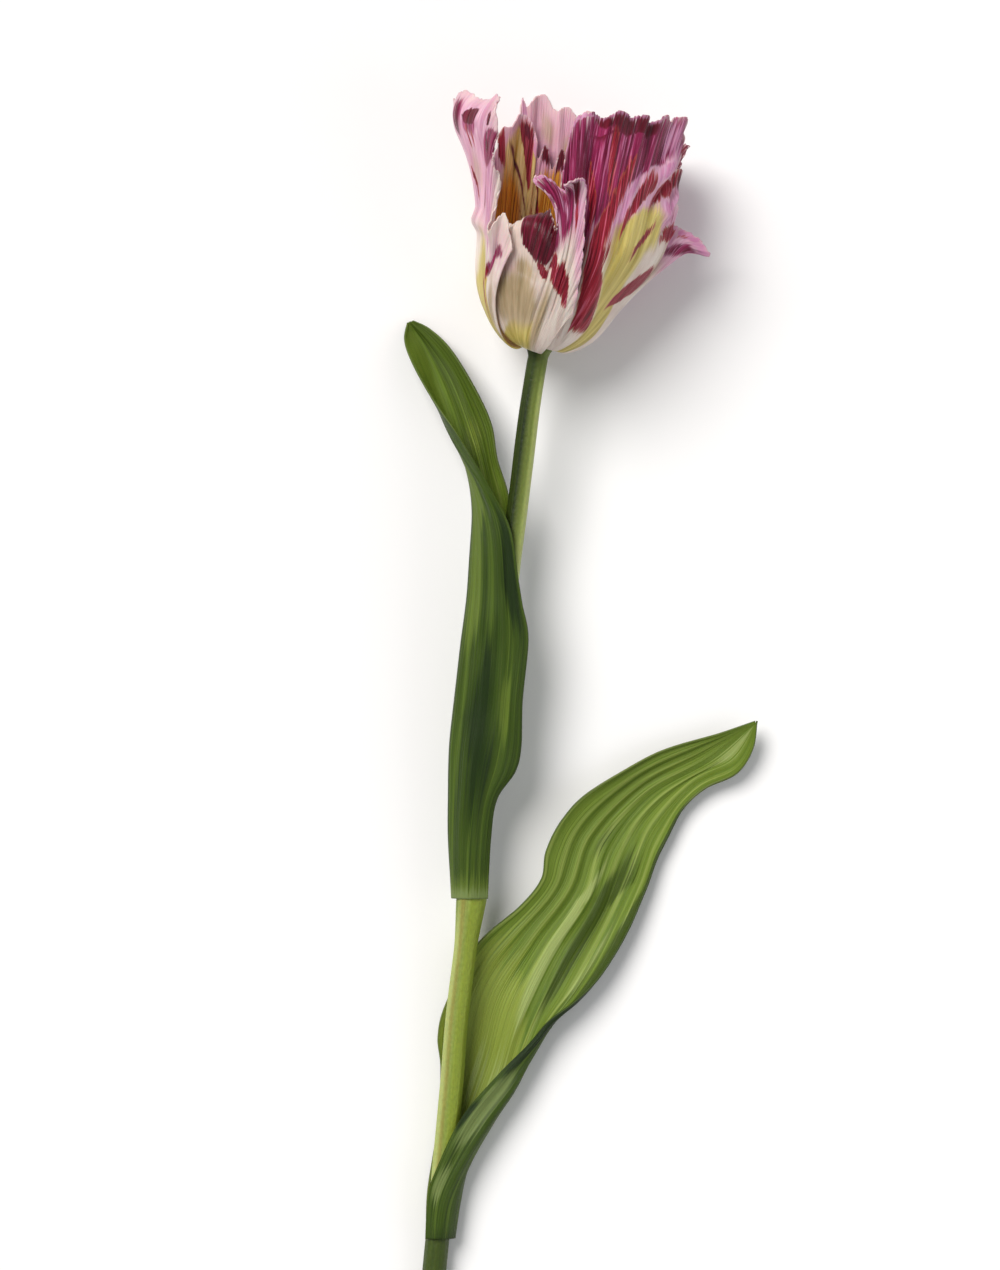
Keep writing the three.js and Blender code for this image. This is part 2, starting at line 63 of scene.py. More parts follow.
def through(rows, t):
    # smooth curve through rows of numbers, t from 0 at the first row to 1 at the last
    place = clamp(t) * (len(rows) - 1)
    step = min(int(place), len(rows) - 2)
    f = place - step
    before, after = rows[max(step - 1, 0)], rows[min(step + 2, len(rows) - 1)]
    made = []
    for p, a, b, n in zip(before, rows[step], rows[step + 1], after):
        slope0, slope1, rise = (b - p) / 2, (n - a) / 2, b - a
        made.append(a + f * (slope0 + f * (3 * rise - 2 * slope0 - slope1
                                           + f * (slope0 + slope1 - 2 * rise))))
    return made


def linear(colour):
    # sRGB hex colour as the linear values that a shader takes
    parts = [int(colour[i:i + 2], 16) / 255 for i in (1, 3, 5)]
    return [p / 12.92 if p <= 0.04045 else ((p + 0.055) / 1.055) ** 2.4 for p in parts] + [1.0]


# Marks: places painted or pushed out on a blade. A mark is the softness of its sides in u and
# of its ends in v, its strength, and its rows (v, left u, right u) from low to high, all but
# the strength in hundredths of the blade.

def readMarks(piece, keys):
    def part(hundredths):
        return round(hundredths / 100, 5)

    for key in keys:
        piece[key] = [(part(side), part(end), strength, [[part(n) for n in row] for row in rows])
                      for side, end, strength, *rows in piece.get(key, [])]


def inMark(mark, u, v):
    side, end, strength, rows = mark
    low, high = rows[0][0], rows[-1][0]
    if v <= low - end or v >= high + end:
        return 0
    at = clamp(v, low, high)
    index = next((k for k in range(1, len(rows)) if rows[k][0] >= at), len(rows) - 1)
    a, b = rows[index - 1], rows[index]
    f = (at - a[0]) / (b[0] - a[0])
    left, right = a[1] + f * (b[1] - a[1]), a[2] + f * (b[2] - a[2])
    across = smooth(0.5 + min(u - left, right - u) / side)
    return across * (smooth(0.5 + (v - low) / end) * smooth(0.5 + (high - v) / end)) * strength


def paintedAt(piece, keys, u, v):
    return {key: max((inMark(mark, u, v) for mark in piece[key]), default=0) for key in keys}


def foldAt(piece, u, v):
    # how far the creases of a blade push it out
    return sum(inMark(crease, u, v) for crease in piece["creases"])


# Meshes

def gridObject(name, columns, rows, place, washes=lambda u, v: {}, closed=False, shares=None):
    # a sheet of columns by rows; place(i, j) gives the point, washes(u, v) the paint weights
    # that the material reads as attributes, shares the v of each row
    mesh = bpy.data.meshes.new(name)
    bm = bmesh.new()
    bmesh.ops.create_grid(bm, x_segments=columns, y_segments=rows, size=0.5)
    blade = bm.loops.layers.uv.new("blade")
    layers = {key: bm.verts.layers.float.new(key) for key in washes(0.5, 0.5)}
    spots = {}
    for vert in bm.verts:
        i, j = round((vert.co.x + 0.5) * columns), round((vert.co.y + 0.5) * rows)
        vert.co = Vector(place(i, j)) * metre
        spots[vert] = (i / columns, shares[j] if shares else j / rows)
        for key, value in washes(*spots[vert]).items():
            vert[layers[key]] = value
    for face in bm.faces:
        face.smooth = True
        for loop in face.loops:
            loop[blade].uv = spots[loop.vert]
    if closed:
        bmesh.ops.remove_doubles(bm, verts=bm.verts, dist=1e-6)
        bmesh.ops.recalc_face_normals(bm, faces=bm.faces)
    bm.to_mesh(mesh)
    bm.free()
    return addObject(name, mesh)


def rolled(name, rings, sides, *washes):
    # closed skin round a run of rings; a ring is centre, right, front and its outline by angle
    def place(i, j):
        centre, side, front, outline = rings[j]
        turn = 2 * pi * i / sides
        reach = outline(turn)
        return centre + side * (reach * cos(turn)) + front * (reach * sin(turn))

    return gridObject(name, sides, len(rings) - 1, place, *washes, closed=True)


def addObject(name, data):
    made = bpy.data.objects.new(name, data)
    bpy.context.collection.objects.link(made)
    return made


def dress(piece, node, slotName, *materials):
    for made in materials:
        piece.data.materials.append(made)
    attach(piece, "root")
    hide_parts(node)


def makeBlade(node, slotName, grid, washes, skin, front, back, shares=None):
    # a sheet with some thickness through columns of points; its back takes the second material
    piece = gridObject(node + "_blade", len(grid) - 1, len(grid[0]) - 1, lambda i, j: grid[i][j],
                       washes, shares=shares)
    made = piece.modifiers.new("thickness", "SOLIDIFY")
    made.thickness = skin * metre
    made.offset = 0
    made.material_offset = 1
    made.material_offset_rim = 0
    dress(piece, node, slotName, front, back)


# Materials

def addNode(tree, kind, links=None, **settings):
    # one node with its settings and what its inputs are, values or sockets
    made = tree.nodes.new("ShaderNode" + kind)
    for key, value in settings.items():
        setattr(made, key, value)
    for key, value in (links or {}).items():
        if isinstance(value, bpy.types.NodeSocket):
            tree.links.new(value, made.inputs[key])
        else:
            made.inputs[key].default_value = value
    return made


def startMaterial(name, **values):
    made = bpy.data.materials.new(name)
    made.use_nodes = True
    tree = made.node_tree
    shader = tree.nodes["Principled BSDF"]
    for key, value in values.items():
        shader.inputs[key].default_value = value
    return made, tree, shader


def startSkin(name, specular, depth, spread):
    # also gives the coordinates along the blade and those of the solid
    started = startMaterial(name, **{"Specular IOR Level": specular, "Subsurface Weight": depth,
                                     "Subsurface Scale": spread})
    tree = started[1]
    return (*started, addNode(tree, "UVMap", uv_map="blade").outputs[0],
            addNode(tree, "TexCoord").outputs["Object"])


def scaleAdd(tree, value, factor, more=0.0, clamped=False):
    return addNode(tree, "Math", {0: value, 1: factor, 2: more}, operation="MULTIPLY_ADD",
                   use_clamp=clamped).outputs[0]


def ranged(tree, value, toMin=0.0, toMax=1.0, fromMin=0.0, fromMax=1.0, **settings):
    limits = {"To Min": toMin, "To Max": toMax, "From Min": fromMin, "From Max": fromMax}
    return addNode(tree, "MapRange", {"Value": value, **limits}, **settings).outputs[0]


def stretched(tree, source, scale, low=0.34):
    # noise from 0 to 1, its grain stretched by a scale along each coordinate
    placed = addNode(tree, "Mapping", {"Vector": source, "Scale": scale}).outputs[0]
    grain = addNode(tree, "TexNoise", {"Vector": placed, "Scale": 1.0, "Detail": 3.0,
                                       "Roughness": 0.55}).outputs["Fac"]
    return ranged(tree, grain, fromMin=low, fromMax=1 - low)


def cellsOf(tree, solid, scale):
    settings = {"Vector": solid, "Scale": scale, "Detail": 2.0}
    return addNode(tree, "TexNoise", settings).outputs["Fac"]


def stir(tree, factor, first, second):
    # mixes two colours, each a hex colour or a socket, by a factor
    first, second = (linear(c) if isinstance(c, str) else c for c in (first, second))
    return addNode(tree, "Mix", {0: factor, 6: first, 7: second}, data_type="RGBA").outputs[2]


def weightOf(tree, key):
    return addNode(tree, "Attribute", attribute_name=key).outputs["Fac"]


def brushed(tree, weight, grain, reach, soft):
    # a painted weight whose edge breaks up into strokes along the grain
    moved = scaleAdd(tree, weight, 1 + reach, scaleAdd(tree, grain, reach, -reach))
    return ranged(tree, moved, fromMin=0.5 - soft, fromMax=0.5 + soft,
                  interpolation_type="SMOOTHSTEP")


def finishSkin(tree, shader, colour, value, gloss, height, reliefs, strength, distance):
    # value and gloss are a tone and its range, reliefs the tones that add to a first height
    toned = addNode(tree, "HueSaturation", {"Color": colour, "Value": ranged(tree, *value)})
    for tone, share in reliefs:
        height = scaleAdd(tree, tone, share, height)
    bump = addNode(tree, "Bump", {"Height": height, "Strength": strength, "Distance": distance})
    tree.links.new(toned.outputs[0], shader.inputs["Base Color"])
    tree.links.new(ranged(tree, *gloss), shader.inputs["Roughness"])
    tree.links.new(bump.outputs[0], shader.inputs["Normal"])


# A tepal is about 90 mm wide and 95 mm long; a scale is those measures over the width and the
# length of a streak. The first is for the lower third, where the veins run together.
streaks = {"hair": ((52, 5, 1), (160, 4, 1)), "fine": ((30, 4, 1), (84, 3, 1)),
           "broad": ((14, 2.4, 1), (28, 2.2, 1)), "cloud": ((7, 5, 1), (9, 6, 1))}
# a paint, in the order in which they are laid on: light and dark colour, the streaks that mix
# them, how far its edge frays and how soft it is
paints = {
    "blush": ("#eab8cd", "#c883a6", "broad", 1.0, 0.9),
    "yolk": ("#e4d27c", "#a89238", "broad", 1.0, 0.9),
    # painted shade: a greyish beige laid where the tepals lie in shade, under lobes and down folds
    "dusk": ("#c2ab8a", "#94805c", "broad", 0.8, 0.9),
    # painted shade, dark maroon, down the right tepal's deepest fold; the left back tepal uses
    # this paint for its own thin maroon lines
    "shade": ("#783038", "#4a161e", "broad", 0.8, 0.8),
    "ochre": ("#e8a42c", "#b46c14", "fine", 1.4, 0.8),
    "rose": ("#a32a5e", "#600c2c", "fine", 2.4, 0.7),
    "pale": ("#e8b2cf", "#c26c9e", "fine", 2.0, 0.6),
    "stripe": ("#ac2238", "#6e101e", "hair", 2.8, 0.5),
    "plum": ("#720e28", "#3c0512", "fine", 2.0, 0.5),
}
# hair-thin threads in a paint: the darker colour, the paler one and their strength
threads = {"rose": ("#480820", "#d07aa4", 0.65), "plum": ("#2c040c", "#8c2c50", 0.5)}
outerLook = {
    "ground": ("#efe2d6", "#dcc6bb"), "rust": "#a8542c", "gloss": (0.26, 0.42),
    "paints": {key: paint for key, paint in paints.items() if key != "ochre"},
    "threads": {**threads, "stripe": ("#44081a", "#d0718a", 0.7),
                "blush": ("#b8709a", "#f6e2ec", 0.35)},
}
innerLook = {
    "ground": ("#ead4c9", "#d8b6ba"), "rust": "#9c5424", "gloss": (0.34, 0.5),
    "paints": {**paints, "yolk": ("#f2dc9a", "#c49c40", "broad", 1.2, 0.8),
               "stripe": ("#a8263c", "#6a1020", "hair", 2.8, 0.5)},
    "threads": {**threads, "stripe": ("#480a1a", "#cc7486", 0.5),
                "yolk": ("#7d4f1c", "#e8dca4", 0.6), "ochre": ("#74300c", "#e0b04a", 0.7)},
}


def tepalMaterial(name, look):
    # Grown petal tissue: colour laid down in strokes along the veins, so that every mark
    # frays lengthwise, over a silky skin with a fine vein relief that catches thin highlights.
    made, tree, shader, blade, solid = startSkin(name, 0.28, 0.1, 0.0012)
    up = addNode(tree, "SeparateXYZ", {0: blade}).outputs[1]
    up = ranged(tree, up, fromMin=0.2, fromMax=0.5)
    tones = {}
    for key, scales in streaks.items():
        low, high = (stretched(tree, blade, scale) for scale in scales)
        tones[key] = addNode(tree, "Mix", {0: up, 2: low, 3: high}).outputs[0]
    hair, fine, broad, cloud = tones.values()
    grain = scaleAdd(tree, fine, 0.4, scaleAdd(tree, hair, 0.6))
    colour = stir(tree, cloud, *look["ground"])
    for key, (light, dark, tone, reach, soft) in look["paints"].items():
        mask = brushed(tree, weightOf(tree, key), grain, reach, soft)
        colour = stir(tree, mask, colour, stir(tree, tones[tone], dark, light))
        if key == "stripe":
            # the paint thins to rust where its strokes end
            rim = scaleAdd(tree, ranged(tree, mask, 2.4, 0.0), mask, clamped=True)
            colour = stir(tree, rim, colour, look["rust"])
        if key in look["threads"]:
            dark, pale, strength = look["threads"][key]
            for tint, low, high in ((dark, 0.42, 0.12), (pale, 0.66, 0.95)):
                thread = ranged(tree, hair, 0.0, strength, low, high)
                colour = stir(tree, scaleAdd(tree, thread, mask), colour, tint)
    reliefs = ((fine, 0.9), (broad, 0.7), (cellsOf(tree, solid, 1800.0), 0.5))
    finishSkin(tree, shader, colour, (hair, 0.94, 1.04), (fine, *look["gloss"]), hair, reliefs,
               0.45, 0.0003)
    return made


outerSkin = tepalMaterial("petal_silky_outer_skin", outerLook)
innerSkin = tepalMaterial("petal_matte_inner_skin", innerLook)


# Bloom: six tepals round one axis, each a column of points from its seat to its margin

bloom = {"turn": 7.5, "rise": 6.5, "seat": Vector((-14.1, 122.4, 26.6))}
seat, turned, raised = bloom["seat"], bloom["turn"] * degree, bloom["rise"] * degree
bloomAxis = Vector((sin(turned) * cos(raised), cos(turned) * cos(raised),
                    sin(raised)))
bloomRight = Vector((cos(turned), -sin(turned), 0))
bloomFront = bloomRight.cross(bloomAxis)


def inBloom(azimuth, radius, height):
    return (seat + bloomRight * (radius * sin(azimuth * degree))
            + bloomFront * (radius * cos(azimuth * degree)) + bloomAxis * height)


# The cup's outline as radius and height, from the seat under the ovary to the open rim. It
# dips at first.
cupLine = {"steps": 260, "dip": 8, "outline": [
    (5.25, 1.6), (8.5, 0.3), (12.5, 1.8), (17, 6.2), (21.1, 12.8), (24.8, 20.5), (27.8, 28.5),
    (30, 37), (31.1, 46), (31.8, 56), (32.6, 65), (33.8, 74), (35.2, 83), (36.8, 92), (38.4, 101),
]}
cup = []
for step in range(cupLine["steps"] + 1):
    radius, height = through(cupLine["outline"], step / cupLine["steps"])
    run = cup[-1][2] + hypot(radius - cup[-1][0], height - cup[-1][1]) if cup else 0
    cup.append((radius, height, run))


def runAtHeight(height):
    return next(step[2] for step in cup if step[2] > cupLine["dip"] and step[1] >= height)


def cupAtRun(run):
    above = bisect_left(cup, run, key=lambda step: step[2])
    low = clamp(above - 1, 0, cupLine["steps"] - 1)
    a, b = cup[low], cup[low + 1]
    f = (run - a[2]) / (b[2] - a[2])
    return (a[0] + f * (b[0] - a[0]), a[1] + f * (b[1] - a[1]),
            atan2(b[1] - a[1], b[0] - a[0]))


# A margin runs from the widest point on the left over the top to the widest on the right.
# Its points are azimuth (0 faces front, 90 right) and height, then five traits, 0 when left
# out: lift pushes the end of the column out, lean turns it aside, hook bends its last tenth,
# slow lets it reach its azimuth late and curl bends its upper half outward.
# Creases are marks whose strength is how far they push the blade out in millimetres.
tepals = {}
tepals["tepal_left"] = {
    "middle": -76, "base": -85, "mesh": (320, 84), "curlFrom": 0.4,
    "margin": [
        (-124, 36), (-122, 47, 0, 2), (-120, 58, 0, -4, 0, 0, 16), (-117, 64, 0, 2, 0, 0, 22),
        (-114, 72, -1, -2, 0, 0, 26), (-108, 76, 0, 0, 0, 0, 30), (-100, 82, 0, 0, -20, 0, 32),
        (-88, 81, 0, 0, -40, 0, 33), (-76, 85.5, 0, 0, -70, 0, 32), (-63, 84, 0, 0, -90, 0, 26),
        (-53, 83, 0, 9, -60, 0, 18), (-50.5, 80, 1, 14, 0, 0, 13), (-49, 73, 1, 13, 0, 0, 12),
        (-47.5, 67, 0, 7, 0, 2, 12), (-46, 61, 1, 5, 0, 5, 8), (-44.5, 56, 0, 4, 0, 9),
        (-43.5, 48, 0, 1, 0, 16), (-42, 41, 3, -1, 0, 28), (-40, 39, 4, 0, 0, 48),
        (-36, 45, 1.5, 3, 0, 88), (-29, 41, 1, 0, 0, 148), (-25, 34, 0.5, 0, 0, 200)],
    "creases": [
        (10, 6, 2.3, (53, 30, 50), (57, 28, 52)),
        (3, 15, -1.4, (62, 45.2, 45.8), (88, 46.6, 47.4)),
        (3, 20, 0.9, (66, 40, 41), (90, 39, 40)), (6, 20, -1.2, (40, 62, 66), (80, 86, 90))],
    "blush": [
        (10, 30, 1, (55, 20, 70), (65, 20, 70), (100, 20, 70)),
        (10, 30, 0.45, (70, 70, 120), (100, 70, 120))],
    "yolk": [
        (14, 20, 1, (0, -20, 120), (10, -10, 115), (25, 30, 100), (37, 44, 80), (45, 46, 58),
         (54, 46, 52))],
    # painted shade on the lower body beside the front tepal and in the neck
    "dusk": [
        (8, 16, 0.8, (30, 80, 96), (44, 80, 94), (60, 86, 96)),
        (4, 14, 0.55, (66, 40, 46), (80, 40.5, 45))],
    "rose": [
        (2, 8, 1, (84, 37.5, 39.8), (92, 37, 40.2), (97, 37, 40)),
        (2, 7, 0.7, (86, 41, 45), (92, 40.5, 46)),
        (3, 10, 0.9, (78, 48.5, 53), (84, 48, 56), (90, 50, 58), (100, 56, 66)),
        (5, 10, 0.78, (42, 58, 62), (55, 68, 75), (66, 77, 86), (80, 88, 95), (88, 93, 99)),
        (12, 12, 0.42, (56, 30, 50), (60, 28, 52))],
    "stripe": [
        (1, 10, 0.8, (80, 42.2, 43), (88, 41.5, 42.5)),
        (0.8, 8, 0.8, (82, 43.8, 44.4), (88, 43.4, 44.2)),
        (1.4, 10, 1, (62, 43, 44.2), (76, 38.2, 39.6)),
        (2, 12, 0.85, (60, 48.2, 50), (70, 49.6, 52), (80, 51.5, 53)),
        (3, 10, 1, (20, 60, 64), (28, 56, 60), (38, 53, 56)),
        (4, 10, 0.8, (38, 57, 60), (45, 60, 64), (55, 68, 74))],
    "plum": [
        (1.4, 3, 1, (90, 41.2, 44.6), (92.5, 40.7, 45), (95.2, 42.4, 45.2)),
        (1, 1.8, 1, (92.6, 49.4, 51.4), (94.8, 49, 52.2), (96.6, 50, 52)),
        (2, 6, 0.7, (84, 50, 53), (90, 52, 55))]}
tepals["tepal_front"] = {
    "middle": -24, "base": -25, "mesh": (320, 84), "calm": (0.2, 0.49),
    "margin": [
        (-62, 30), (-56, 40), (-44, 42), (-36, 42, 0, 0, -60), (-28, 46, 1, 0, -120),
        (-19, 49, 2, 0, -140), (-9, 48, 2, 0, -110), (-2, 44, 1.5, 0, -40), (0, 41, 1, 1),
        (4, 50, 2, -5), (6, 61, 3.5, -20, 40), (7.5, 59, 3, -16), (8.5, 55, 1, -6),
        (9.5, 63, 2, -8, 60), (11, 65, 2, -6, 60), (13, 58, 1), (15, 47, 1.5), (17.5, 34, 1.5),
        (20, 24, 1), (23, 14)],
    "creases": [
        (12, 12, 1.8, (72, 30, 44), (92, 30, 40)), (12, 25, 1.3, (20, -10, 10), (60, -10, 13)),
        (8, 25, 0.9, (25, 55, 60), (70, 62, 66)), (6, 25, -1, (30, 42, 47), (70, 47, 50)),
        (4, 25, -1, (40, 76, 80), (90, 70, 72)), (6, 25, -0.8, (20, 20, 24), (60, 20, 24))],
    "blush": [
        (20, 36, 1, (72, 44, 80), (100, 40, 100)), (10, 16, 0.5, (60, 14, 30), (72, 14, 26))],
    "yolk": [(16, 20, 1, (0, -20, 60), (20, -20, 54), (27, 6, 50), (34, 18, 46))],
    # painted shade over the lower body and under the lobe
    "dusk": [
        (14, 24, 1, (30, 8, 44), (45, 8, 44), (66, 10, 32)),
        (10, 10, 0.9, (60, 22, 38), (72, 22, 32)),
        (16, 30, 0.95, (10, 48, 74), (30, 46, 68), (50, 48, 64))],
    "rose": [
        (6, 20, 0.9, (72, 57, 72), (83, 55, 73), (88, 53, 72), (94, 49, 70), (100, 46, 70)),
        (5, 12, 0.85, (66, 50, 56), (74, 46, 56), (84, 44, 50))],
    "pale": [
        (6, 12, 0.5, (84, 60, 66), (97, 56, 62)), (3, 1, 0.8, (98.8, 46, 100), (100, 46, 100))],
    "stripe": [
        (3, 10, 0.85, (56, 47.5, 50), (61, 45, 48.5), (67, 38.5, 45), (76, 33, 40)),
        (5, 8, 0.9, (46, 66, 76), (52, 58, 84), (60, 58, 87)),
        (4, 8, 0.85, (52, 54, 64), (60, 52, 61), (66, 46, 55), (70, 44, 50)),
        (5, 8, 0.9, (54, 78, 88), (64, 82, 91), (70, 86, 94)),
        (2, 16, 0.85, (76, 77, 79.5), (86, 73.8, 77), (94, 70.5, 73.5))],
    "plum": [
        (4, 10, 1, (74, 32, 48), (79, 26, 48), (87, 24.5, 46), (100, 25, 47)),
        (2, 12, 0.85, (84, 73.5, 76), (100, 72.5, 76.5))]}
tepals["tepal_right"] = {
    "middle": 50, "base": 42, "mesh": (420, 84),
    "margin": [
        (0, 54), (1, 70), (4, 78.5), (12, 81, 0.5), (19, 79, -1), (27, 82.5, 1), (34, 80.5, -1.5),
        (41, 82, 0.5), (47, 79, -1.5), (54, 82.5, 0.5), (60, 80, -1), (66, 82.5, 0.5),
        (70, 78.5, 0.5), (73, 70), (75, 61.5, -1, -3), (79, 65), (83, 61.5), (86, 54.5, -1, -2),
        (88, 51.5, 1.5, 1), (90.5, 46, -0.5, -1), (92, 47, 10, 1, 25, -2), (94, 45, 13, 1, 25, -5),
        (95, 41, 5, 0, 0, -8), (96, 36, 0, -2, 0, -10), (97, 30, 0, 0, 0, -12),
        (98, 23, 0, 0, 0, -13)],
    "creases": [
        (3.5, 25, -1.7, (25, 15, 17), (60, 14, 18), (95, 12, 15)),
        (5, 20, 1.1, (15, 25, 40), (45, 20, 24), (78, 25, 26)),
        (3, 20, -0.9, (45, 28.5, 30), (80, 32, 33.5)), (5, 10, 1.6, (76, 36, 43), (88, 44, 50)),
        (3, 12, -1.5, (66, 41, 43), (95, 53, 55)), (5, 10, 1.7, (68, 46, 50), (90, 60, 64)),
        (3, 10, -1.4, (66, 53, 55), (90, 66, 68)), (3, 10, -0.8, (80, 5, 6), (100, 5, 6)),
        (3, 10, -0.9, (80, 25, 26), (100, 27, 28))],
    "blush": [
        (10, 20, 1, (50, 0, 40), (75, 0, 60), (100, 0, 100)),
        (14, 24, 0.85, (70, 76, 100), (100, 70, 100))],
    # painted shade over the right half of the upper body
    "dusk": [(10, 16, 0.6, (50, 60, 74), (66, 66, 80), (78, 70, 80))],
    "yolk": [
        (9, 12, 1, (0, 40, 80), (14, 44, 80), (24, 40, 74), (30, 33, 64), (36, 29, 50),
         (42, 27, 46), (53, 25, 46), (60, 26, 52), (66, 34, 54), (70, 42, 52))],
    "shade": [
        (5, 20, 1, (30, 17, 20), (42, 15, 18.5), (56, 13.5, 18), (66, 13, 17.5), (74, 13, 16))],
    "rose": [
        (8, 24, 1, (56, 0, 20), (68, 0, 23.5), (74, 0, 27), (80, 0, 33), (85, 0, 42), (90, 0, 46),
         (100, 0, 55)),
        (5, 12, 0.85, (80, 74, 80), (90, 79, 85), (94, 80, 86)),
        (10, 20, 0.55, (80, 55, 70), (95, 60, 74))],
    "pale": [
        (2.4, 10, 1, (62, 26.2, 28), (70, 27.6, 29.6), (76, 29.2, 31.6), (83, 32, 33.4)),
        (6, 14, 0.56, (86, 36, 50), (100, 38, 54)), (6, 8, 1, (95, 76, 95), (100, 76, 95)),
        (5, 8, 1, (78, 38.5, 42), (83, 41, 47), (87, 46, 51)),
        (5, 10, 1, (72, 47, 51), (82, 54, 59), (95, 66, 70)),
        (3, 1.2, 0.8, (98.5, 2, 36), (100, 2, 36))],
    "stripe": [
        (3.5, 12, 0.9, (17, 23.5, 45), (20, 22.5, 43), (24, 22.5, 39), (31, 21, 32),
         (38, 19.5, 28), (46, 18, 24.8), (53, 18, 23.2), (61, 19.7, 23.8), (68, 22, 25.6),
         (76, 24, 27.5), (86, 27, 28.8)),
        (1.4, 16, 1, (45, 24.5, 25.8), (56, 24, 25.4)),
        (5, 12, 0.88, (30, 45, 49), (34, 45.5, 54), (40, 48.5, 60), (50, 54.5, 67), (59, 62, 74),
         (64, 67, 78)),
        (3, 16, 0.85, (46, 36.6, 38), (53, 37, 40), (58, 40, 44), (64, 45, 48)),
        (3, 16, 0.85, (56, 27.5, 28.8), (64, 28.4, 31.2), (69, 30.2, 35.5), (75, 33.2, 40),
         (82, 36.2, 40)),
        (3.5, 16, 0.85, (66, 38.5, 41.5), (72, 40.5, 46), (78, 43.5, 50), (86, 50.5, 56),
         (100, 58, 64)),
        (3.5, 16, 0.85, (67, 55.5, 59), (76, 61.5, 68), (86, 68.5, 75), (96, 74, 79)),
        (2, 20, 1, (58, 18, 19.4), (71, 16, 17.8), (85, 13.5, 15)),
        (2, 20, 1, (70, 21.2, 22.8), (85, 19.8, 21.6), (97, 18.8, 20.4))],
    "plum": [
        (5, 12, 0.9, (92.5, 10, 20), (94, 20, 34), (100, 10, 36)),
        (3, 12, 0.85, (90, 60, 65), (100, 60, 67)), (3, 20, 0.7, (76, 10, 13), (88, 9, 12))]}
tepals["tepal_right_back"] = {
    "middle": 105, "base": 97, "mesh": (220, 60),
    "margin": [
        (60, 36), (62, 48), (66, 57), (72, 62), (79, 58, -1.5), (86, 63), (94, 62, 1.5),
        (101, 73, 0, 0, 30), (109, 71, 2), (116, 75, 0, 0, 40), (124, 69), (130, 72, 2), (136, 64),
        (141, 62, 3, 3, 40), (145, 54, 0, -2), (148, 48, 2.5, 2), (150, 40, 0, -2), (152, 30)],
    "creases": [
        (5, 20, -1.2, (40, 45, 50), (100, 45, 50)), (5, 20, 1.2, (40, 65, 70), (100, 65, 70))],
    "blush": [(10, 30, 1, (30, 0, 100), (100, 0, 100))],
    "yolk": [(12, 30, 1, (0, 40, 66), (50, 45, 56))],
    "rose": [
        (11.7, 27.3, 1, (80, 10, 40), (100, 10, 45)),
        (11.7, 27.3, 1, (75, 60, 80), (100, 60, 90))],
    "stripe": [
        (5.7, 27, 1, (15, 36, 44), (70, 40, 43), (90, 36, 39)),
        (5.7, 27, 1, (15, 62, 68), (60, 62, 66), (85, 68, 70))],
    "plum": [(7.8, 10.9, 1, (95, 20, 80), (100, 20, 80))]}
tepals["tepal_back"] = {
    "middle": 160, "base": 155, "mesh": (260, 60),
    "margin": [
        (108, 36), (110, 50), (116, 61), (124, 69), (130, 66, -1.5), (138, 73), (147, 70),
        (154, 76, -1.5), (162, 74), (169, 80), (176, 78, 1), (182, 81, 1), (188, 79),
        (194, 84, 1.5), (200, 83), (204, 79.5, 0, 1), (207, 82, 1, 1), (208.5, 75, 0, 1),
        (209.5, 68, 0, -1), (211, 60, 2, 1), (212, 52, 0, -1), (213, 44, 2, 1), (214, 32)],
    "creases": [
        (4, 20, -1.3, (50, 50, 52), (100, 52, 54)), (4, 20, 1.2, (50, 60, 62), (100, 62, 64)),
        (4, 20, 1, (50, 42, 44), (100, 44, 46))],
    "blush": [(10, 30, 0.8, (30, 0, 100), (100, 0, 100))],
    # painted shade down the middle of the upper half
    "dusk": [
        (10, 8, 0.8, (84, 54, 60), (95, 54, 60)), (10, 10, 0.8, (76, 46, 52), (90, 44, 50))],
    "yolk": [(12, 30, 1, (0, 36, 64), (50, 43, 56))],
    "pale": [(4, 11, 0.8, (93, 69, 73.5), (100, 66, 75))],
    "stripe": [
        (5.7, 27, 1, (15, 36, 42), (60, 40, 42)), (5.7, 27, 1, (15, 60, 64), (60, 58, 60))]}
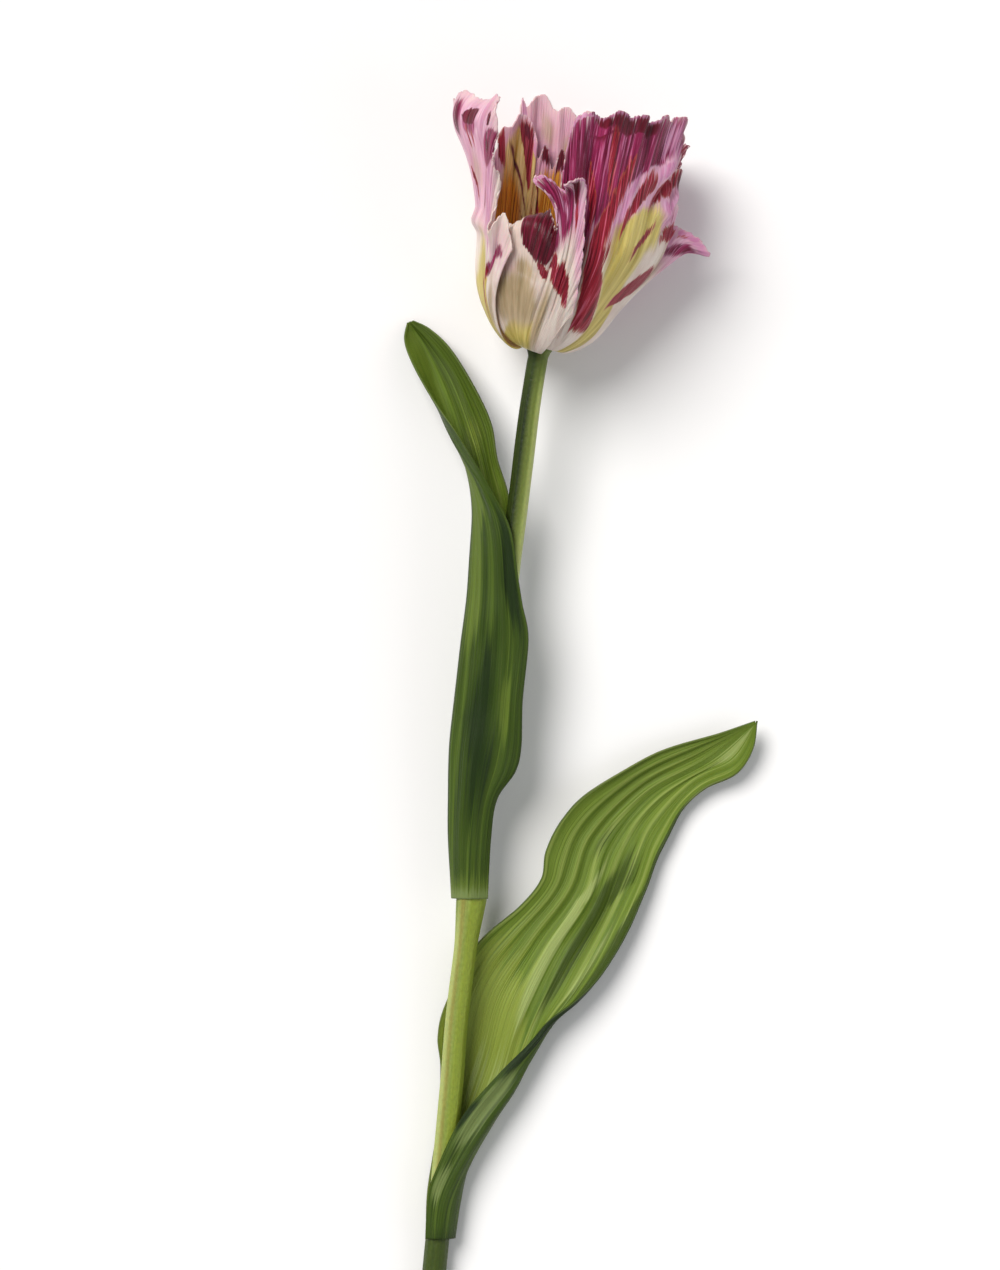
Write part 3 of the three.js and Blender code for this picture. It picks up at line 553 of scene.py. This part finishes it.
tepals["tepal_left_back"] = {
    "middle": 210, "base": 215, "mesh": (280, 70),
    "margin": [
        (162, 36), (164, 48), (169, 57), (177, 60), (182, 66, -1), (187, 59), (193, 67, -1),
        (197, 62), (200, 71), (206, 76), (213, 76), (220, 72, -1.5), (227, 71), (231, 62, 1, -1),
        (234, 57), (238, 50, 1), (241, 46), (243, 38), (244, 28)],
    "creases": [
        (3, 20, -1.2, (50, 40, 42), (95, 42, 44)), (4, 20, 1.1, (50, 54, 56), (95, 56, 58)),
        (2, 20, 1.2, (60, 33, 35), (95, 35.5, 36.5))],
    "blush": [(10, 20, 1, (84, 0, 100), (100, 0, 100))],
    "yolk": [(6, 10, 1, (10, 30, 70), (70, 30, 66), (80, 30, 65), (90, 36, 65), (96, 54, 64))],
    "ochre": [
        (10, 30, 1, (30, 48, 80), (60, 48, 78), (70, 50, 75), (80, 57, 68)),
        (6, 30, 1, (30, 10, 34), (73, 19, 34), (90, 20, 33), (97, 25, 30))],
    # the tepal's own thin maroon lines, laid with the shade paint
    "shade": [
        (2, 10, 1, (66, 42, 43.5), (77, 50.5, 52.5), (84, 56, 58.2), (94, 61.5, 63)),
        (2, 10, 1, (62, 43.5, 45), (70, 54, 56), (78, 59.5, 61.5)),
        (2, 12, 1, (58, 50, 51.5), (70, 60, 61.5))],
    "stripe": [
        (2.5, 14, 0.9, (84, 63.6, 66), (92, 64.8, 69), (100, 65.5, 71)),
        (3, 8, 0.92, (76, 43, 45), (84, 43.5, 49), (90, 44, 52.5), (96, 44.5, 55), (98, 45, 55)),
        (1.6, 14, 0.85, (66, 31.5, 32.8), (82, 35, 36.6), (92, 38.5, 40)),
        (1.4, 14, 0.85, (60, 37.5, 38.4), (78, 39.5, 40.6))],
    "plum": [
        (3, 10, 1, (93, 31, 35.5), (100, 30, 36)), (2, 5, 1, (93, 47, 51), (97, 48, 52)),
        (3, 8, 1, (92, 19, 25), (100, 18, 26))]}
tepalShape = {
    "seatHalfTurn": 24, "curlFrom": 0.5, "hookFrom": 0.86, "fanRun": 22, "tooth": 4, "lean": 8,
    "lift": 6, "ruffle": 9, "frayed": 14, "lapDistance": 3.3, "lapRun": 5, "lapTurn": 60,
    "foldDepth": 0.5, "foldCount": 9, "foldRun": 30, "sideBias": 0.145, "biasSpan": (12, 38),
    "bellyRise": 1.5, "bellyRun": 8, "skin": 0.5,
    "calmOffsets": [-0.12, -0.08, -0.04, 0, 0.04, 0.08, 0.12],
    # a rib is its depth, its grain in u and v, where it starts and over how much it grows
    "ribs": [(0.7, 16, 1.4, 0.35, 0.45), (0.25, 46, 2, 0.5, 0.4)],
}
# teeth and ruffles of a margin, by millimetres along it
frill = {"crowding": 1.25, "depth": 0.55, "depthSwing": 0.5, "depthGrain": 0.11,
         "teeth": 1.05, "stray": 2, "strayGrain": 0.2, "bite": 0.6, "calmed": 0.25,
         "ruffle": 0.7, "ruffleGrain": 0.22, "wave": 0.35, "waves": 0.9}


def tepalColumn(tepal, u, shares, reach, ruffle):
    # points at the given shares of the column's length; reach is how far the margin's
    # small teeth stand up, ruffle how far the margin stands out
    shape, rows = {**tepalShape, **tepal}, tepal["margin"]
    azimuth, height, lift, lean, hook, slow, curl = through(rows, u)
    near = [through(rows, u + offset) for offset in shape["calmOffsets"]]
    calmAzimuth = sum(row[0] for row in near) / len(near)
    calmLength = sum(runAtHeight(row[1]) for row in near) / len(near)
    length = runAtHeight(height)
    root = tepal["base"] + shape["seatHalfTurn"] * (2 * u - 1)
    fan = shape["fanRun"] + slow
    reachedAll = 1 - exp(-calmLength / fan)

    def path(run):
        return root + (calmAzimuth - root) * (1 - exp(-run / fan)) / reachedAll

    points = []
    radius, level, lastRun = cup[0]
    for v in shares:
        run = calmLength * v + (length - calmLength) * v ** 3
        cupRadius, cupLevel, slope = cupAtRun(run)
        bend = curl * ramp(v, shape["curlFrom"]) + hook * ramp(v, shape["hookFrom"])
        slope -= bend * degree
        if v <= shape["curlFrom"]:
            radius, level = cupRadius, cupLevel
        else:
            radius += (run - lastRun) * cos(slope)
            level += (run - lastRun) * sin(slope)
        lastRun = run
        turn = (path(run) + (azimuth - path(length)) * v ** shape["tooth"]
                + lean * v ** shape["lean"])
        lap = shape["lapDistance"] * (1 - exp(-run / shape["lapRun"]))
        lap *= (turn - tepal["middle"]) / shape["lapTurn"]
        fold = shape["foldDepth"] * cos(shape["foldCount"] * turn * degree)
        fold *= smooth(level / shape["foldRun"])
        rib = sum(depth * noise((u * across, v * along, tepal["middle"]))
                  * smooth((v - start) / growth)
                  for depth, across, along, start, growth in shape["ribs"])
        out = (lap + fold + lift * v ** shape["lift"] + ruffle * v ** shape["ruffle"]
               + (rib + foldAt(tepal, u, v)))
        more = reach * v ** shape["frayed"]
        aside = sin(turn * degree)
        bias = 1 + shape["sideBias"] * aside * ramp(level, *shape["biasSpan"])
        rise = shape["bellyRise"] * max(0, aside) * smooth(run / shape["bellyRun"])
        point = inBloom(turn, (radius + more * cos(slope) + out * sin(slope)) * bias,
                        level + more * sin(slope) + rise - out * cos(slope))
        point.z = max(point.z, shape["skin"] / 2)
        points.append(point)
    return points


def makeTepal(name, tepal):
    readMarks(tepal, ["creases", *paints])
    tepal["margin"] = [(*point, 0, 0, 0, 0, 0)[:7] for point in tepal["margin"]]
    columns, rows = tepal["mesh"]
    calmFrom, calmTo = tepal.get("calm", (2, 2))
    shares = [1 - (1 - j / rows) ** frill["crowding"] for j in range(rows + 1)]
    ends = [tepalColumn(tepal, i / columns, [0.9, 0.95, 1], 0, 0)[-1] for i in range(columns + 1)]
    along = [0]
    for last, end in zip(ends, ends[1:]):
        along.append(along[-1] + (end - last).length)
    grid = []
    for i, run in enumerate(along):
        depth = frill["depth"] + frill["depthSwing"] * noise(
            (run * frill["depthGrain"], tepal["middle"], 3))
        stray = frill["stray"] * noise((run * frill["strayGrain"], 5, 1))
        tooth = abs(sin(run * frill["teeth"] + stray)) ** frill["bite"]
        reach = depth * (tooth - frill["bite"])
        if calmFrom < i / columns < calmTo:
            reach *= frill["calmed"]
        ruffle = frill["ruffle"] * noise((run * frill["ruffleGrain"], tepal["middle"], 7))
        ruffle += frill["wave"] * sin(run * frill["waves"])
        grid.append(tepalColumn(tepal, i / columns, shares, reach, ruffle))
    makeBlade(name, "tepal", grid, lambda u, v: paintedAt(tepal, paints, u, v),
              tepalShape["skin"], outerSkin, innerSkin, shares)


for name, tepal in tepals.items():
    makeTepal(name, tepal)
print("tepals made")


# Greens: materials of the stem, the leaves, the pistil and the stamens

# deep is partly painted shade, in the leaves' fold valleys and along the lower leaf's turned-under
# margin, and partly their own darker green
leafPaints = ["lush", "pale", "deep"]
# a leaf is about 40 mm wide unrolled and 200 mm long; scales of its ribs, hairs and patches
leafStreaks = [(40, 1.2, 1), (130, 3, 1), (5, 4, 1)]


def leafMaterial(name, look):
    # Living leaf with parallel veins: lighter ribs between darker grooves and a thin waxy
    # bloom over them, so the sheen is broken into long satin streaks.
    made, tree, shader, blade, solid = startSkin(name, 0.22, 0.04, 0.001)
    rib, hair, patch = (stretched(tree, blade, scale) for scale in leafStreaks)
    colour = stir(tree, rib, look["groove"], look["rib"])
    colour = stir(tree, scaleAdd(tree, patch, 0.6), colour, look["light"])
    # first a painted highlight on the crests of the pleats, then the paints and the darker margin
    for key in ("crest_highlight", *leafPaints, "edge"):
        weight = weightOf(tree, key)
        if key in leafPaints:
            weight = brushed(tree, weight, rib, 1.5, 0.7)
        colour = stir(tree, weight, colour, look[key])
    reliefs = ((rib, 0.8), (cellsOf(tree, solid, 1500.0), 0.4))
    finishSkin(tree, shader, colour, (hair, 0.82, 1.12), (rib, 0.34, 0.5), hair, reliefs,
               0.6, 0.00025)
    return made


def rodMaterial(name, look):
    # Smooth round green growth: long soft streaks, small pores, a waxy low shine
    made, tree, shader, blade, solid = startSkin(name, 0.26, look["depth"], 0.001)
    streak = stretched(tree, blade, look["streak"])
    patch = stretched(tree, solid, (60, 25, 60))
    pores = stretched(tree, solid, (1400, 700, 1400), low=0.35)
    colour = stir(tree, streak, look["dark"], look["light"])
    colour = stir(tree, patch, colour, look["patch"])
    streakyStrength = ranged(tree, streak, 0.86)
    # each paint, the stem's painted shade and painted light among them, is laid with a streaky
    # strength
    for key, paint in look["paints"].items():
        colour = stir(tree, scaleAdd(tree, streakyStrength, weightOf(tree, key)), colour, paint)
    finishSkin(tree, shader, colour, (pores, 0.9, 1.06), (pores, *look["gloss"]), pores,
               [(streak, 0.7)], 0.4, 0.0002)
    return made


stemSkin = rodMaterial("stem_waxy_green_skin", {
    "dark": "#6c7c2c", "light": "#96a454", "patch": "#82923e", "streak": (18, 6, 1),
    "gloss": (0.4, 0.55), "depth": 0.08,
    # shade is painted shade on the stem's side away from the light; pale is painted light on its
    # lit side above the sheath, and lower down it is a paler band of the stem's own
    "paints": {"shade": "#1a2a02", "deep": "#33440e", "pale": "#aab568", "lush": "#8a9a34",
               "line": "#8e7838"}})
pistilSkin = rodMaterial("ovary_smooth_green_skin", {
    "dark": "#a8ad58", "light": "#c9cd86", "patch": "#b9c46a", "streak": (12, 3, 1),
    "gloss": (0.4, 0.55), "depth": 0.2, "paints": {}})
stamenSkin = rodMaterial("anther_dusty_dark_skin", {
    "dark": "#241528", "light": "#4a2f44", "patch": "#38223a", "streak": (8, 4, 1),
    "gloss": (0.6, 0.8), "depth": 0.0, "paints": {}})
leafInside = leafMaterial("leaf_satin_inner_face", {
    "groove": "#56701c", "rib": "#7a9034", "light": "#6f8428", "lush": "#86963a",
    "crest_highlight": "#8fa04c", "pale": "#9aaa60", "deep": "#3d5008", "edge": "#33431a"})
leafOutside = leafMaterial("leaf_waxy_outer_face", {
    "groove": "#213605", "rib": "#496015", "light": "#384c09", "lush": "#5c7024",
    "crest_highlight": "#50661c", "pale": "#74854a", "deep": "#1a2e03", "edge": "#263518"})


# Stem: a bent round rod from its plain cut end to the receptacle in the cup

stem = {
    "radius": 3.4, "footRadius": 4.1, "sides": 64, "rings": 300, "top": 5, "topRings": 25,
    "ridges": 9, "ridge": 0.05, "twist": 0.01, "wobble": 0.12, "wobbleGrain": 0.05,
    "line": [
        (-51.6, -207.5, 4.1), (-49.4, -188, 5.3), (-45.2, -143.2, 8.1), (-43.4, -123.4, 9.4),
        (-41.9, -104.2, 10.8), (-39, -80, 12.6), (-37, -63.4, 14), (-32.8, -29.4, 16.5),
        (-28.9, 4.6, 19), (-24, 48.9, 21.9), (-20.8, 73.8, 23.3), (-17.4, 101.5, 25.2),
        tuple(seat)],
    # share of the radius and distance along the stem: the cut face dips towards its middle
    # and has a rounded edge
    "cut": [(0, 0.35), (0.45, 0.3), (0.8, 0.1), (0.95, 0.02), (1, 0.25)], "shaft": 0.5,
}
foot = stem["line"][0][1]
# the swelling in the upper leaf's sheath, and the rings round its end
collar = {"from": -81, "to": -57.5, "swell": 1.5, "steps": (-0.2, 0.05, 0.6)}
# radius and height on the bloom's own axis
receptacle = [(3.4, -2.4), (3.9, -0.8), (4.6, 0.5), (4.6, 2.2), (4.1, 2.8), (0, 2.9)]


def stemCentre(y):
    low, high = 0.0, 1.0
    for _ in range(30):
        t = (low + high) / 2
        low, high = (t, high) if through(stem["line"], t)[1] < y else (low, t)
    return Vector(through(stem["line"], low))


def stemRadiusAt(y):
    taper = (stem["radius"] - stem["footRadius"]) * (y - foot) / (seat.y - foot)
    inCollar = ramp(y, collar["from"], collar["to"]) if y <= collar["to"] else 0
    return stem["footRadius"] + taper + collar["swell"] * inCollar


def makeStem():
    start = foot + stem["shaft"]
    spacing = (seat.y - stem["top"] - foot - stem["shaft"]) / stem["rings"]
    shaft = [start + k * spacing for k in range(stem["rings"] + 1)]
    shaft += [collar["to"] + step for step in collar["steps"]]
    heights = [(foot + along, share) for share, along in stem["cut"]]
    rings = []
    for y, share in heights + [(y, 1) for y in sorted(shaft)]:
        along = (stemCentre(y + 1) - stemCentre(y - 1)).normalized()
        side = -Vector((0, 0, 1)).cross(along).normalized()
        wobble = stem["wobble"] * noise((y * stem["wobbleGrain"], 2, 0))

        def outline(turn, radius=stemRadiusAt(y) * share, y=y, wobble=wobble, share=share):
            ridge = stem["ridge"] * cos(stem["ridges"] * turn + y * stem["twist"])
            return radius + (wobble + ridge) * share

        rings.append((stemCentre(y), side, side.cross(along), outline))
    for k in range(stem["topRings"] + 1):
        radius, height = through(receptacle, k / stem["topRings"])
        rings.append((inBloom(0, 0, height), bloomRight, bloomFront,
                      lambda turn, radius=radius: max(0, radius)))

    def washes(u, v):
        # y is the place along the stem; left, from -1 to 1, is away from the light
        y = rings[round(v * (len(rings) - 1))][0].y
        left = -cos(2 * pi * u)
        upper, lowest = ramp(y, -40, 20), ramp(y, -164, -176)
        neck, middle = ramp(y, seat.y - 18, seat.y - 4), (1 - upper) * (1 - lowest)
        # above the sheath: painted shade on the far side and, in the second part of pale, painted
        # light on the near side; the first part of pale is the stem's own paler band lower down
        return {"shade": clamp((left + 0.65) / 0.95) * upper,
                "deep": max(0.5 * neck, lowest),
                "pale": max(middle * ramp(left, 0.35, 0.75) * ramp(y, -62, -78),
                            upper * (1 - neck) * ramp(-left, 0.4, 0.8)),
                "lush": middle * ramp(left, 0.3, -0.2),
                "line": 0.5 * middle * smooth(1 - abs(left - 0.5) / 0.3)}

    dress(rolled("stem_skin", rings, stem["sides"], washes), "stem", "stem", stemSkin)


makeStem()
print("stem made")


# Leaves: a blade through five rails from one margin to the other, each from the sheath
# round the stem to the tip, pleated along its parallel veins
leaves = {}
leaves["leaf_upper"] = {
    "pleats": 7, "pleatDepth": 0.3, "pleatFade": (0.15, 0.5),
    "rails": [
        [(-31.4, -62.2, 17.3), (-30.3, -41.3, 19.5), (-28.2, -28.4, 21.5), (-22.1, -19.2, 23),
         (-20.1, -10.7, 24), (-19.7, 4.6, 25.5), (-17.7, 25, 26.5), (-19.7, 36.9, 27),
         (-21.1, 45.4, 27.5), (-23.8, 62.4, 28), (-30.6, 76, 27), (-40.8, 93, 22.5),
         (-50.7, 107.6, 17), (-57.1, 119.5, 10.5), (-59.5, 127, 5.5), (-58.5, 132.8, 2.2)],
        [(-37.4, -62.2, 19.8), (-36.4, -41.3, 21.6), (-34, -22.6, 24), (-30.6, -2.2, 26),
         (-28.6, 21.6, 28), (-28.2, 42, 29), (-29.6, 62.4, 28.5), (-34.7, 77.7, 25),
         (-43.5, 93, 17), (-49, 106.6, 10), (-53.9, 120.2, 5), (-57.5, 127.7, 2.6),
         (-58.5, 132.8, 2)],
        [(-43.4, -62.2, 14), (-44.2, -39.6, 15), (-43.7, -12.4, 17), (-41.2, 13.1, 19.5),
         (-38.4, 35.2, 21), (-36.8, 55.6, 21.5), (-36.5, 70.9, 20), (-39, 86.2, 15.5),
         (-43.2, 101.5, 9), (-49, 116.8, 3.2), (-54.1, 127, 0.6), (-58.1, 133.1, 1.4)],
        [(-37.4, -62.2, 8.2), (-36.4, -41.3, 9), (-34, -22.6, 9.5), (-30.6, -2.2, 10.5),
         (-28.6, 21.6, 12), (-28.2, 42, 13.5), (-29.2, 62.4, 14.5), (-31.6, 79.4, 13.5),
         (-36, 96.4, 11.5), (-42.5, 113.4, 7.5), (-50.3, 125.3, 3.5), (-57.5, 133.1, 1.8)],
        [(-31.4, -62.2, 10.7), (-30.3, -41.3, 10.5), (-27.2, -19.2, 11), (-23.1, 4.6, 12),
         (-22.1, 25, 13), (-22.4, 42, 14), (-23.1, 59, 15), (-24.5, 74.3, 16.5),
         (-28.2, 86.2, 17.5), (-30.3, 98.1, 17), (-35.7, 110, 15), (-43.9, 123.3, 10),
         (-51, 130.4, 5.5), (-56.8, 133.5, 2.4)]],
    "creases": [
        (10, 15, -0.8, (20, 28, 32), (45, 28, 32)), (8, 15, 0.6, (20, 14, 18), (60, 12, 16))],
    "lush": [
        (40, 10, 1, (-10, -50, 150), (3, -50, 150)),
        (10, 14, 1, (42, 35, 46), (60, 35, 46), (76, 20, 42)),
        (6, 10, 1, (26, 12, 18), (36, 12, 20)), (20, 8, 1, (74, 60, 80), (80, 62, 90))],
    "pale": [(40, 5, 1, (-10, -50, 150), (1.4, -50, 150))],
    "deep": [
        # painted shade in the valley of the first crease
        (16, 24, 0.9, (12, 20, 36), (22, 20, 34), (30, 24, 40), (40, 24, 34), (46, 20, 30)),
        (12, 20, 0.85, (42, 4, 12), (52, 3, 20), (64, 5, 16)),
        (10, 12, 0.5, (50, 20, 26), (60, 20, 26)), (6, 10, 0.55, (68, 52, 100), (110, 52, 100))]}
leaves["leaf_lower"] = {
    "pleats": 7, "pleatDepth": 0.44, "pleatFade": (0.2, 0.2),
    "rails": [
        [(-52.2, -177.7, 2.7), (-51.8, -162, 3.4), (-48.4, -139.9, 3.6), (-47.3, -120.5, 4.6),
         (-48.3, -109.3, 5), (-45.6, -98.1, 6), (-35.4, -78.4, 7), (-20.4, -65.1, 8),
         (-13.3, -55.9, 9), (-11.6, -46.4, 10), (-6.1, -35.5, 10), (3.4, -26, 9.5),
         (25.5, -13.4, 7.5), (47.6, -6.6, 7.5), (59.2, -2.4, 8.5)],
        [(-48, -178, 0.7), (-46.4, -165.4, 1.2), (-43.5, -146.7, 1.9), (-40.1, -129.7, 2),
         (-35.7, -112.7, 2), (-30.6, -94, 3.5), (-18.7, -76.3, 4.5), (-5.8, -59.3, 5),
         (1.7, -40.3, 4.5), (18.7, -23.6, 4), (40.8, -12.4, 5), (59.2, -2.8, 8.4)],
        [(-42.6, -177.7, 6), (-40.8, -165.4, 6.4), (-38.1, -152.5, 5), (-32.6, -138.2, 4.5),
         (-25.5, -124.6, 3.8), (-18.7, -104.2, 3.5), (-8.5, -82.1, 2.5), (3.4, -63.4, 1.6),
         (10.2, -44.7, 1), (24.5, -27.7, 1.4), (44.9, -15.8, 4), (59.4, -3.2, 8.3)],
        [(-46.9, -177.7, 11.1), (-44.8, -164.7, 11.8), (-38.4, -151.1, 11.6), (-30.6, -138.9, 11),
         (-21.4, -125.6, 10), (-11.9, -107.6, 8.5), (-1.7, -94, 6), (8.5, -76.3, 3.5),
         (17.7, -56.6, 2), (24.8, -38.9, 1.6), (38.4, -23.6, 3), (52.7, -15.8, 6),
         (59.7, -2.8, 8.4)],
        [(-52.4, -177.7, 9), (-51.5, -162.7, 9.9), (-48.6, -153.5, 12.4), (-39.8, -135.8, 13.2),
         (-27.2, -121.2, 13.2), (-16.7, -111, 13), (-10.2, -103.9, 12.5), (-1.7, -97.4, 11.5),
         (7.8, -87.9, 9.5), (16.3, -73.6, 8), (22.1, -60, 6.8), (25.8, -49.8, 6),
         (29.6, -42.3, 5.6), (34.7, -32.5, 5.6), (42.5, -25.3, 6), (53, -20.2, 7.2),
         (58.5, -11.7, 8.4), (59.8, -2.4, 8.6)]],
    "creases": [
        (10, 15, 1.7, (30, 45, 48), (70, 44, 50)), (10, 15, -1.6, (30, 58, 60), (72, 62, 68)),
        (8, 12, 1.2, (38, 70, 74), (62, 74, 78)), (8, 12, -1, (30, 84, 90), (60, 86, 90))],
    "lush": [(20, 20, 1, (12, -20, 70), (35, -10, 56), (46, 0, 36))],
    "pale": [
        (6, 12, 1, (36, 44, 49), (50, 42, 50), (58, 40, 46), (66, 50, 55)),
        (14, 12, 0.5, (20, 20, 50), (32, 26, 46)), (6, 10, 0.8, (42, 70, 74), (58, 74, 79)),
        (10, 6, 0.9, (6, 84, 94), (12, 84, 94)), (10, 8, 1, (16, 83, 93), (30, 83, 93)),
        (20, 8, 0.7, (90, 50, 70), (100, 50, 70))],
    "deep": [
        # painted shade in the valley of the second crease
        (8, 12, 0.7, (38, 56, 61), (50, 54, 65), (60, 52, 66), (66, 60, 78), (71, 62, 78)),
        (8, 10, 0.5, (64, 36, 44), (73, 40, 52)),
        # painted shade along the margin where the blade turns under
        (8, 10, 0.9, (30, 90, 110), (48, 82, 110), (58, 84, 110), (66, 92, 110), (82, 96, 110)),
        (40, 8, 0.6, (-10, 0, 100), (2, 0, 100)), (4, 5, 0.9, (18, 95, 100), (24, 94, 100))]}
leafShape = {
    "railSteps": 240, "stations": 340, "columns": 56, "skin": 0.7, "near": 0.01, "drift": 0.05,
    "leastPleat": 0.7, "rib": 0.08, "ribsPerPleat": 3, "wave": 0.35, "edge": 0.016, "frayed": 0.6}


def railPoints(rail, count):
    steps = leafShape["railSteps"]
    fine = [through(rail, i / steps) for i in range(steps + 1)]
    runs = [0]
    for a, b in zip(fine, fine[1:]):
        runs.append(runs[-1] + dist(a, b))
    made = []
    for j in range(count + 1):
        run = j / count * runs[-1]
        after = clamp(bisect_left(runs, run), 1, steps)
        f = clamp((run - runs[after - 1]) / (runs[after] - runs[after - 1]))
        made.append([a + f * (b - a) for a, b in zip(fine[after - 1], fine[after])])
    return made


def pleatAt(leaf, q, share):
    # the wave of the parallel veins across the blade, drifting along it
    drift = q + leafShape["drift"] * noise((q * 4, share * 2.5, leaf["pleats"]))
    return cos(2 * pi * leaf["pleats"] * drift)


def makeLeaf(name, leaf):
    readMarks(leaf, ["creases", *leafPaints])
    stations, columns = leafShape["stations"], leafShape["columns"]
    rails = [railPoints(rail, stations) for rail in leaf["rails"]]
    fadeIn, fadeOut = leaf["pleatFade"]
    grid = [[] for _ in range(columns + 1)]
    for j in range(stations + 1):
        section = [rail[j] for rail in rails]
        along = Vector(rails[2][min(j + 1, stations)]) - Vector(rails[2][max(j - 1, 0)])
        share = j / stations
        fade = smooth(share / fadeIn) * smooth((1 - share) / fadeOut)
        for i, column in enumerate(grid):
            q = i / columns
            before, after = max(q - leafShape["near"], 0), min(q + leafShape["near"], 1)
            across = Vector(through(section, after)) - Vector(through(section, before))
            normal = across.cross(along).normalized()
            swell = leafShape["leastPleat"] + noise((q * 5, share * 3, 4))
            depth = leaf["pleatDepth"] * swell
            pleat = depth * pleatAt(leaf, q, share) * fade + foldAt(leaf, q, share)
            ribs = leafShape["ribsPerPleat"] * leaf["pleats"]
            rib = leafShape["rib"] * cos(2 * pi * ribs * q) * fade
            wave = leafShape["wave"] * noise((share * 14, q * 3, leaf["pleatDepth"] * 10))
            made = Vector(through(section, q)) + normal * (pleat + rib + wave * fade)
            made.z = max(made.z, leafShape["skin"] / 2)
            column.append(made)

    def washes(u, v):
        margin = min(u, 1 - u) / leafShape["edge"]
        margin += leafShape["frayed"] * noise((v * 9, round(u) * 5, 2))
        # the crests of the pleats painted lighter: a painted highlight along the ridges
        crest_highlight = smooth(4 * pleatAt(leaf, u, v) - 3) * smooth((1 - v) / fadeOut)
        return {"edge": 0.6 * smooth(1 - margin), "crest_highlight": crest_highlight,
                **paintedAt(leaf, leafPaints, u, v)}

    makeBlade(name, "leaf", grid, washes, leafShape["skin"], leafInside, leafOutside)


for name, leaf in leaves.items():
    makeLeaf(name, leaf)
print("leaves made")


# Pistil: three-sided ovary under a stigma of three lobes, its outline as radius and height

pistil = {
    "rings": 96, "sides": 60, "body": 0.07, "lobes": 0.24, "stigma": (20.5, 22),
    "fuzz": 0.05, "fuzzFrom": 21, "outline": [
        (0, 3.2), (1.9, 3.2), (2.6, 5), (3.1, 9), (3.1, 14), (2.6, 18), (2.1, 20.5), (3, 22),
        (3.6, 23.2), (2.6, 24.2), (0, 23.6)]}


def makePistil():
    rings = []
    for k in range(pistil["rings"] + 1):
        radius, height = through(pistil["outline"], k / pistil["rings"])
        more = (pistil["lobes"] - pistil["body"]) * ramp(height, *pistil["stigma"])

        def outline(turn, radius=max(radius, 0), lobes=pistil["body"] + more, height=height):
            fuzz = pistil["fuzz"] * noise((turn * 9, height * 4, 1))
            return radius * (1 + lobes * cos(3 * turn) + fuzz * (height > pistil["fuzzFrom"]))

        rings.append((inBloom(0, 0, height), bloomRight, bloomFront, outline))
    dress(rolled("pistil_body", rings, pistil["sides"]), "pistil", "pistil", pistilSkin)


makePistil()

# Stamens: a thin filament and a long anther, leaning out from the ovary. The outline is the
# radius across and the distance up the stamen.
stamen = {
    "count": 6, "ring": 3.35, "lean": 15, "base": 3.2, "sides": 28, "rings": 80,
    "anther": (8, 10), "sac": 0.12, "dust": 0.06, "outline": [
        (0, 0), (0.5, 0), (0.55, 4), (0.45, 8), (1.1, 9), (1.5, 11), (1.6, 15), (1.3, 19),
        (0.6, 20.6), (0, 20.9)]}


def makeStamen(index):
    azimuth = (index + 0.5) * 360 / stamen["count"]
    lean = stamen["lean"] * degree

    def at(up):
        return inBloom(azimuth, stamen["ring"] + up * sin(lean), stamen["base"] + up * cos(lean))

    along = (at(1) - at(0)).normalized()
    side = bloomAxis.cross(along).normalized()
    rings = []
    for k in range(stamen["rings"] + 1):
        radius, up = through(stamen["outline"], k / stamen["rings"])

        def outline(turn, radius=max(radius, 0), up=up):
            # two pollen sacs with a groove between them, and a grainy surface
            sac = stamen["sac"] * abs(cos(2 * turn))
            dust = stamen["dust"] * noise((turn * 7, up * 5, index))
            return radius * (1 + (dust - sac) * ramp(up, *stamen["anther"]))

        rings.append((at(up), -side.cross(along), side, outline))
    name = f"stamen_{index + 1}"
    dress(rolled(name + "_body", rings, stamen["sides"]), name, "stamen", stamenSkin)


for index in range(stamen["count"]):
    makeStamen(index)
print("pistil and stamens made")


# Stage: plain pale floor, soft studio light, camera straight above

stage = {"floorHalf": 3000, "floorLevel": -0.1, "skyStrength": 0.36,
         "lens": 166.7, "sensor": 36, "camera": (-0.0272, 0.0267, 2.0)}


def makeFloor():
    paper = startMaterial("floor_matte_paper", Roughness=0.9,
                          **{"Base Color": linear("#f8f8f8")})[0]
    half, level = stage["floorHalf"], stage["floorLevel"]
    piece = gridObject("floor", 2, 2, lambda i, j: ((i - 1) * half, (j - 1) * half, level))
    piece.data.materials.append(paper)


def addLight(name, kind, spot, power, tint, **settings):
    light = bpy.data.lights.new(name, kind)
    light.energy = power
    light.color = linear(tint)[:3]
    for key, value in settings.items():
        setattr(light, key, value)
    made = addObject(name, light)
    made.location = spot
    made.rotation_euler = (-Vector(spot)).to_track_quat("-Z", "Y").to_euler()


makeFloor()
addLight("key_window", "SUN", (-0.9, 1.0, 1.75), 2.8, "#fffcf9", angle=0.6)
addLight("fill_softbox", "AREA", (1.4, -0.5, 1.2), 5, "#f4f8ff", shape="DISK", size=1.2)

world = bpy.data.worlds.new("studio")
bpy.context.scene.world = world
world.use_nodes = True
sky = world.node_tree.nodes["Background"].inputs
sky["Color"].default_value = linear("#ffffff")
sky["Strength"].default_value = stage["skyStrength"]
bpy.context.scene.view_settings.view_transform = "Standard"

camera = bpy.data.cameras.new("camera")
camera.lens = stage["lens"]
camera.sensor_width = stage["sensor"]
bpy.context.scene.camera = addObject("camera", camera)
bpy.context.scene.camera.location = stage["camera"]
print("stage made")
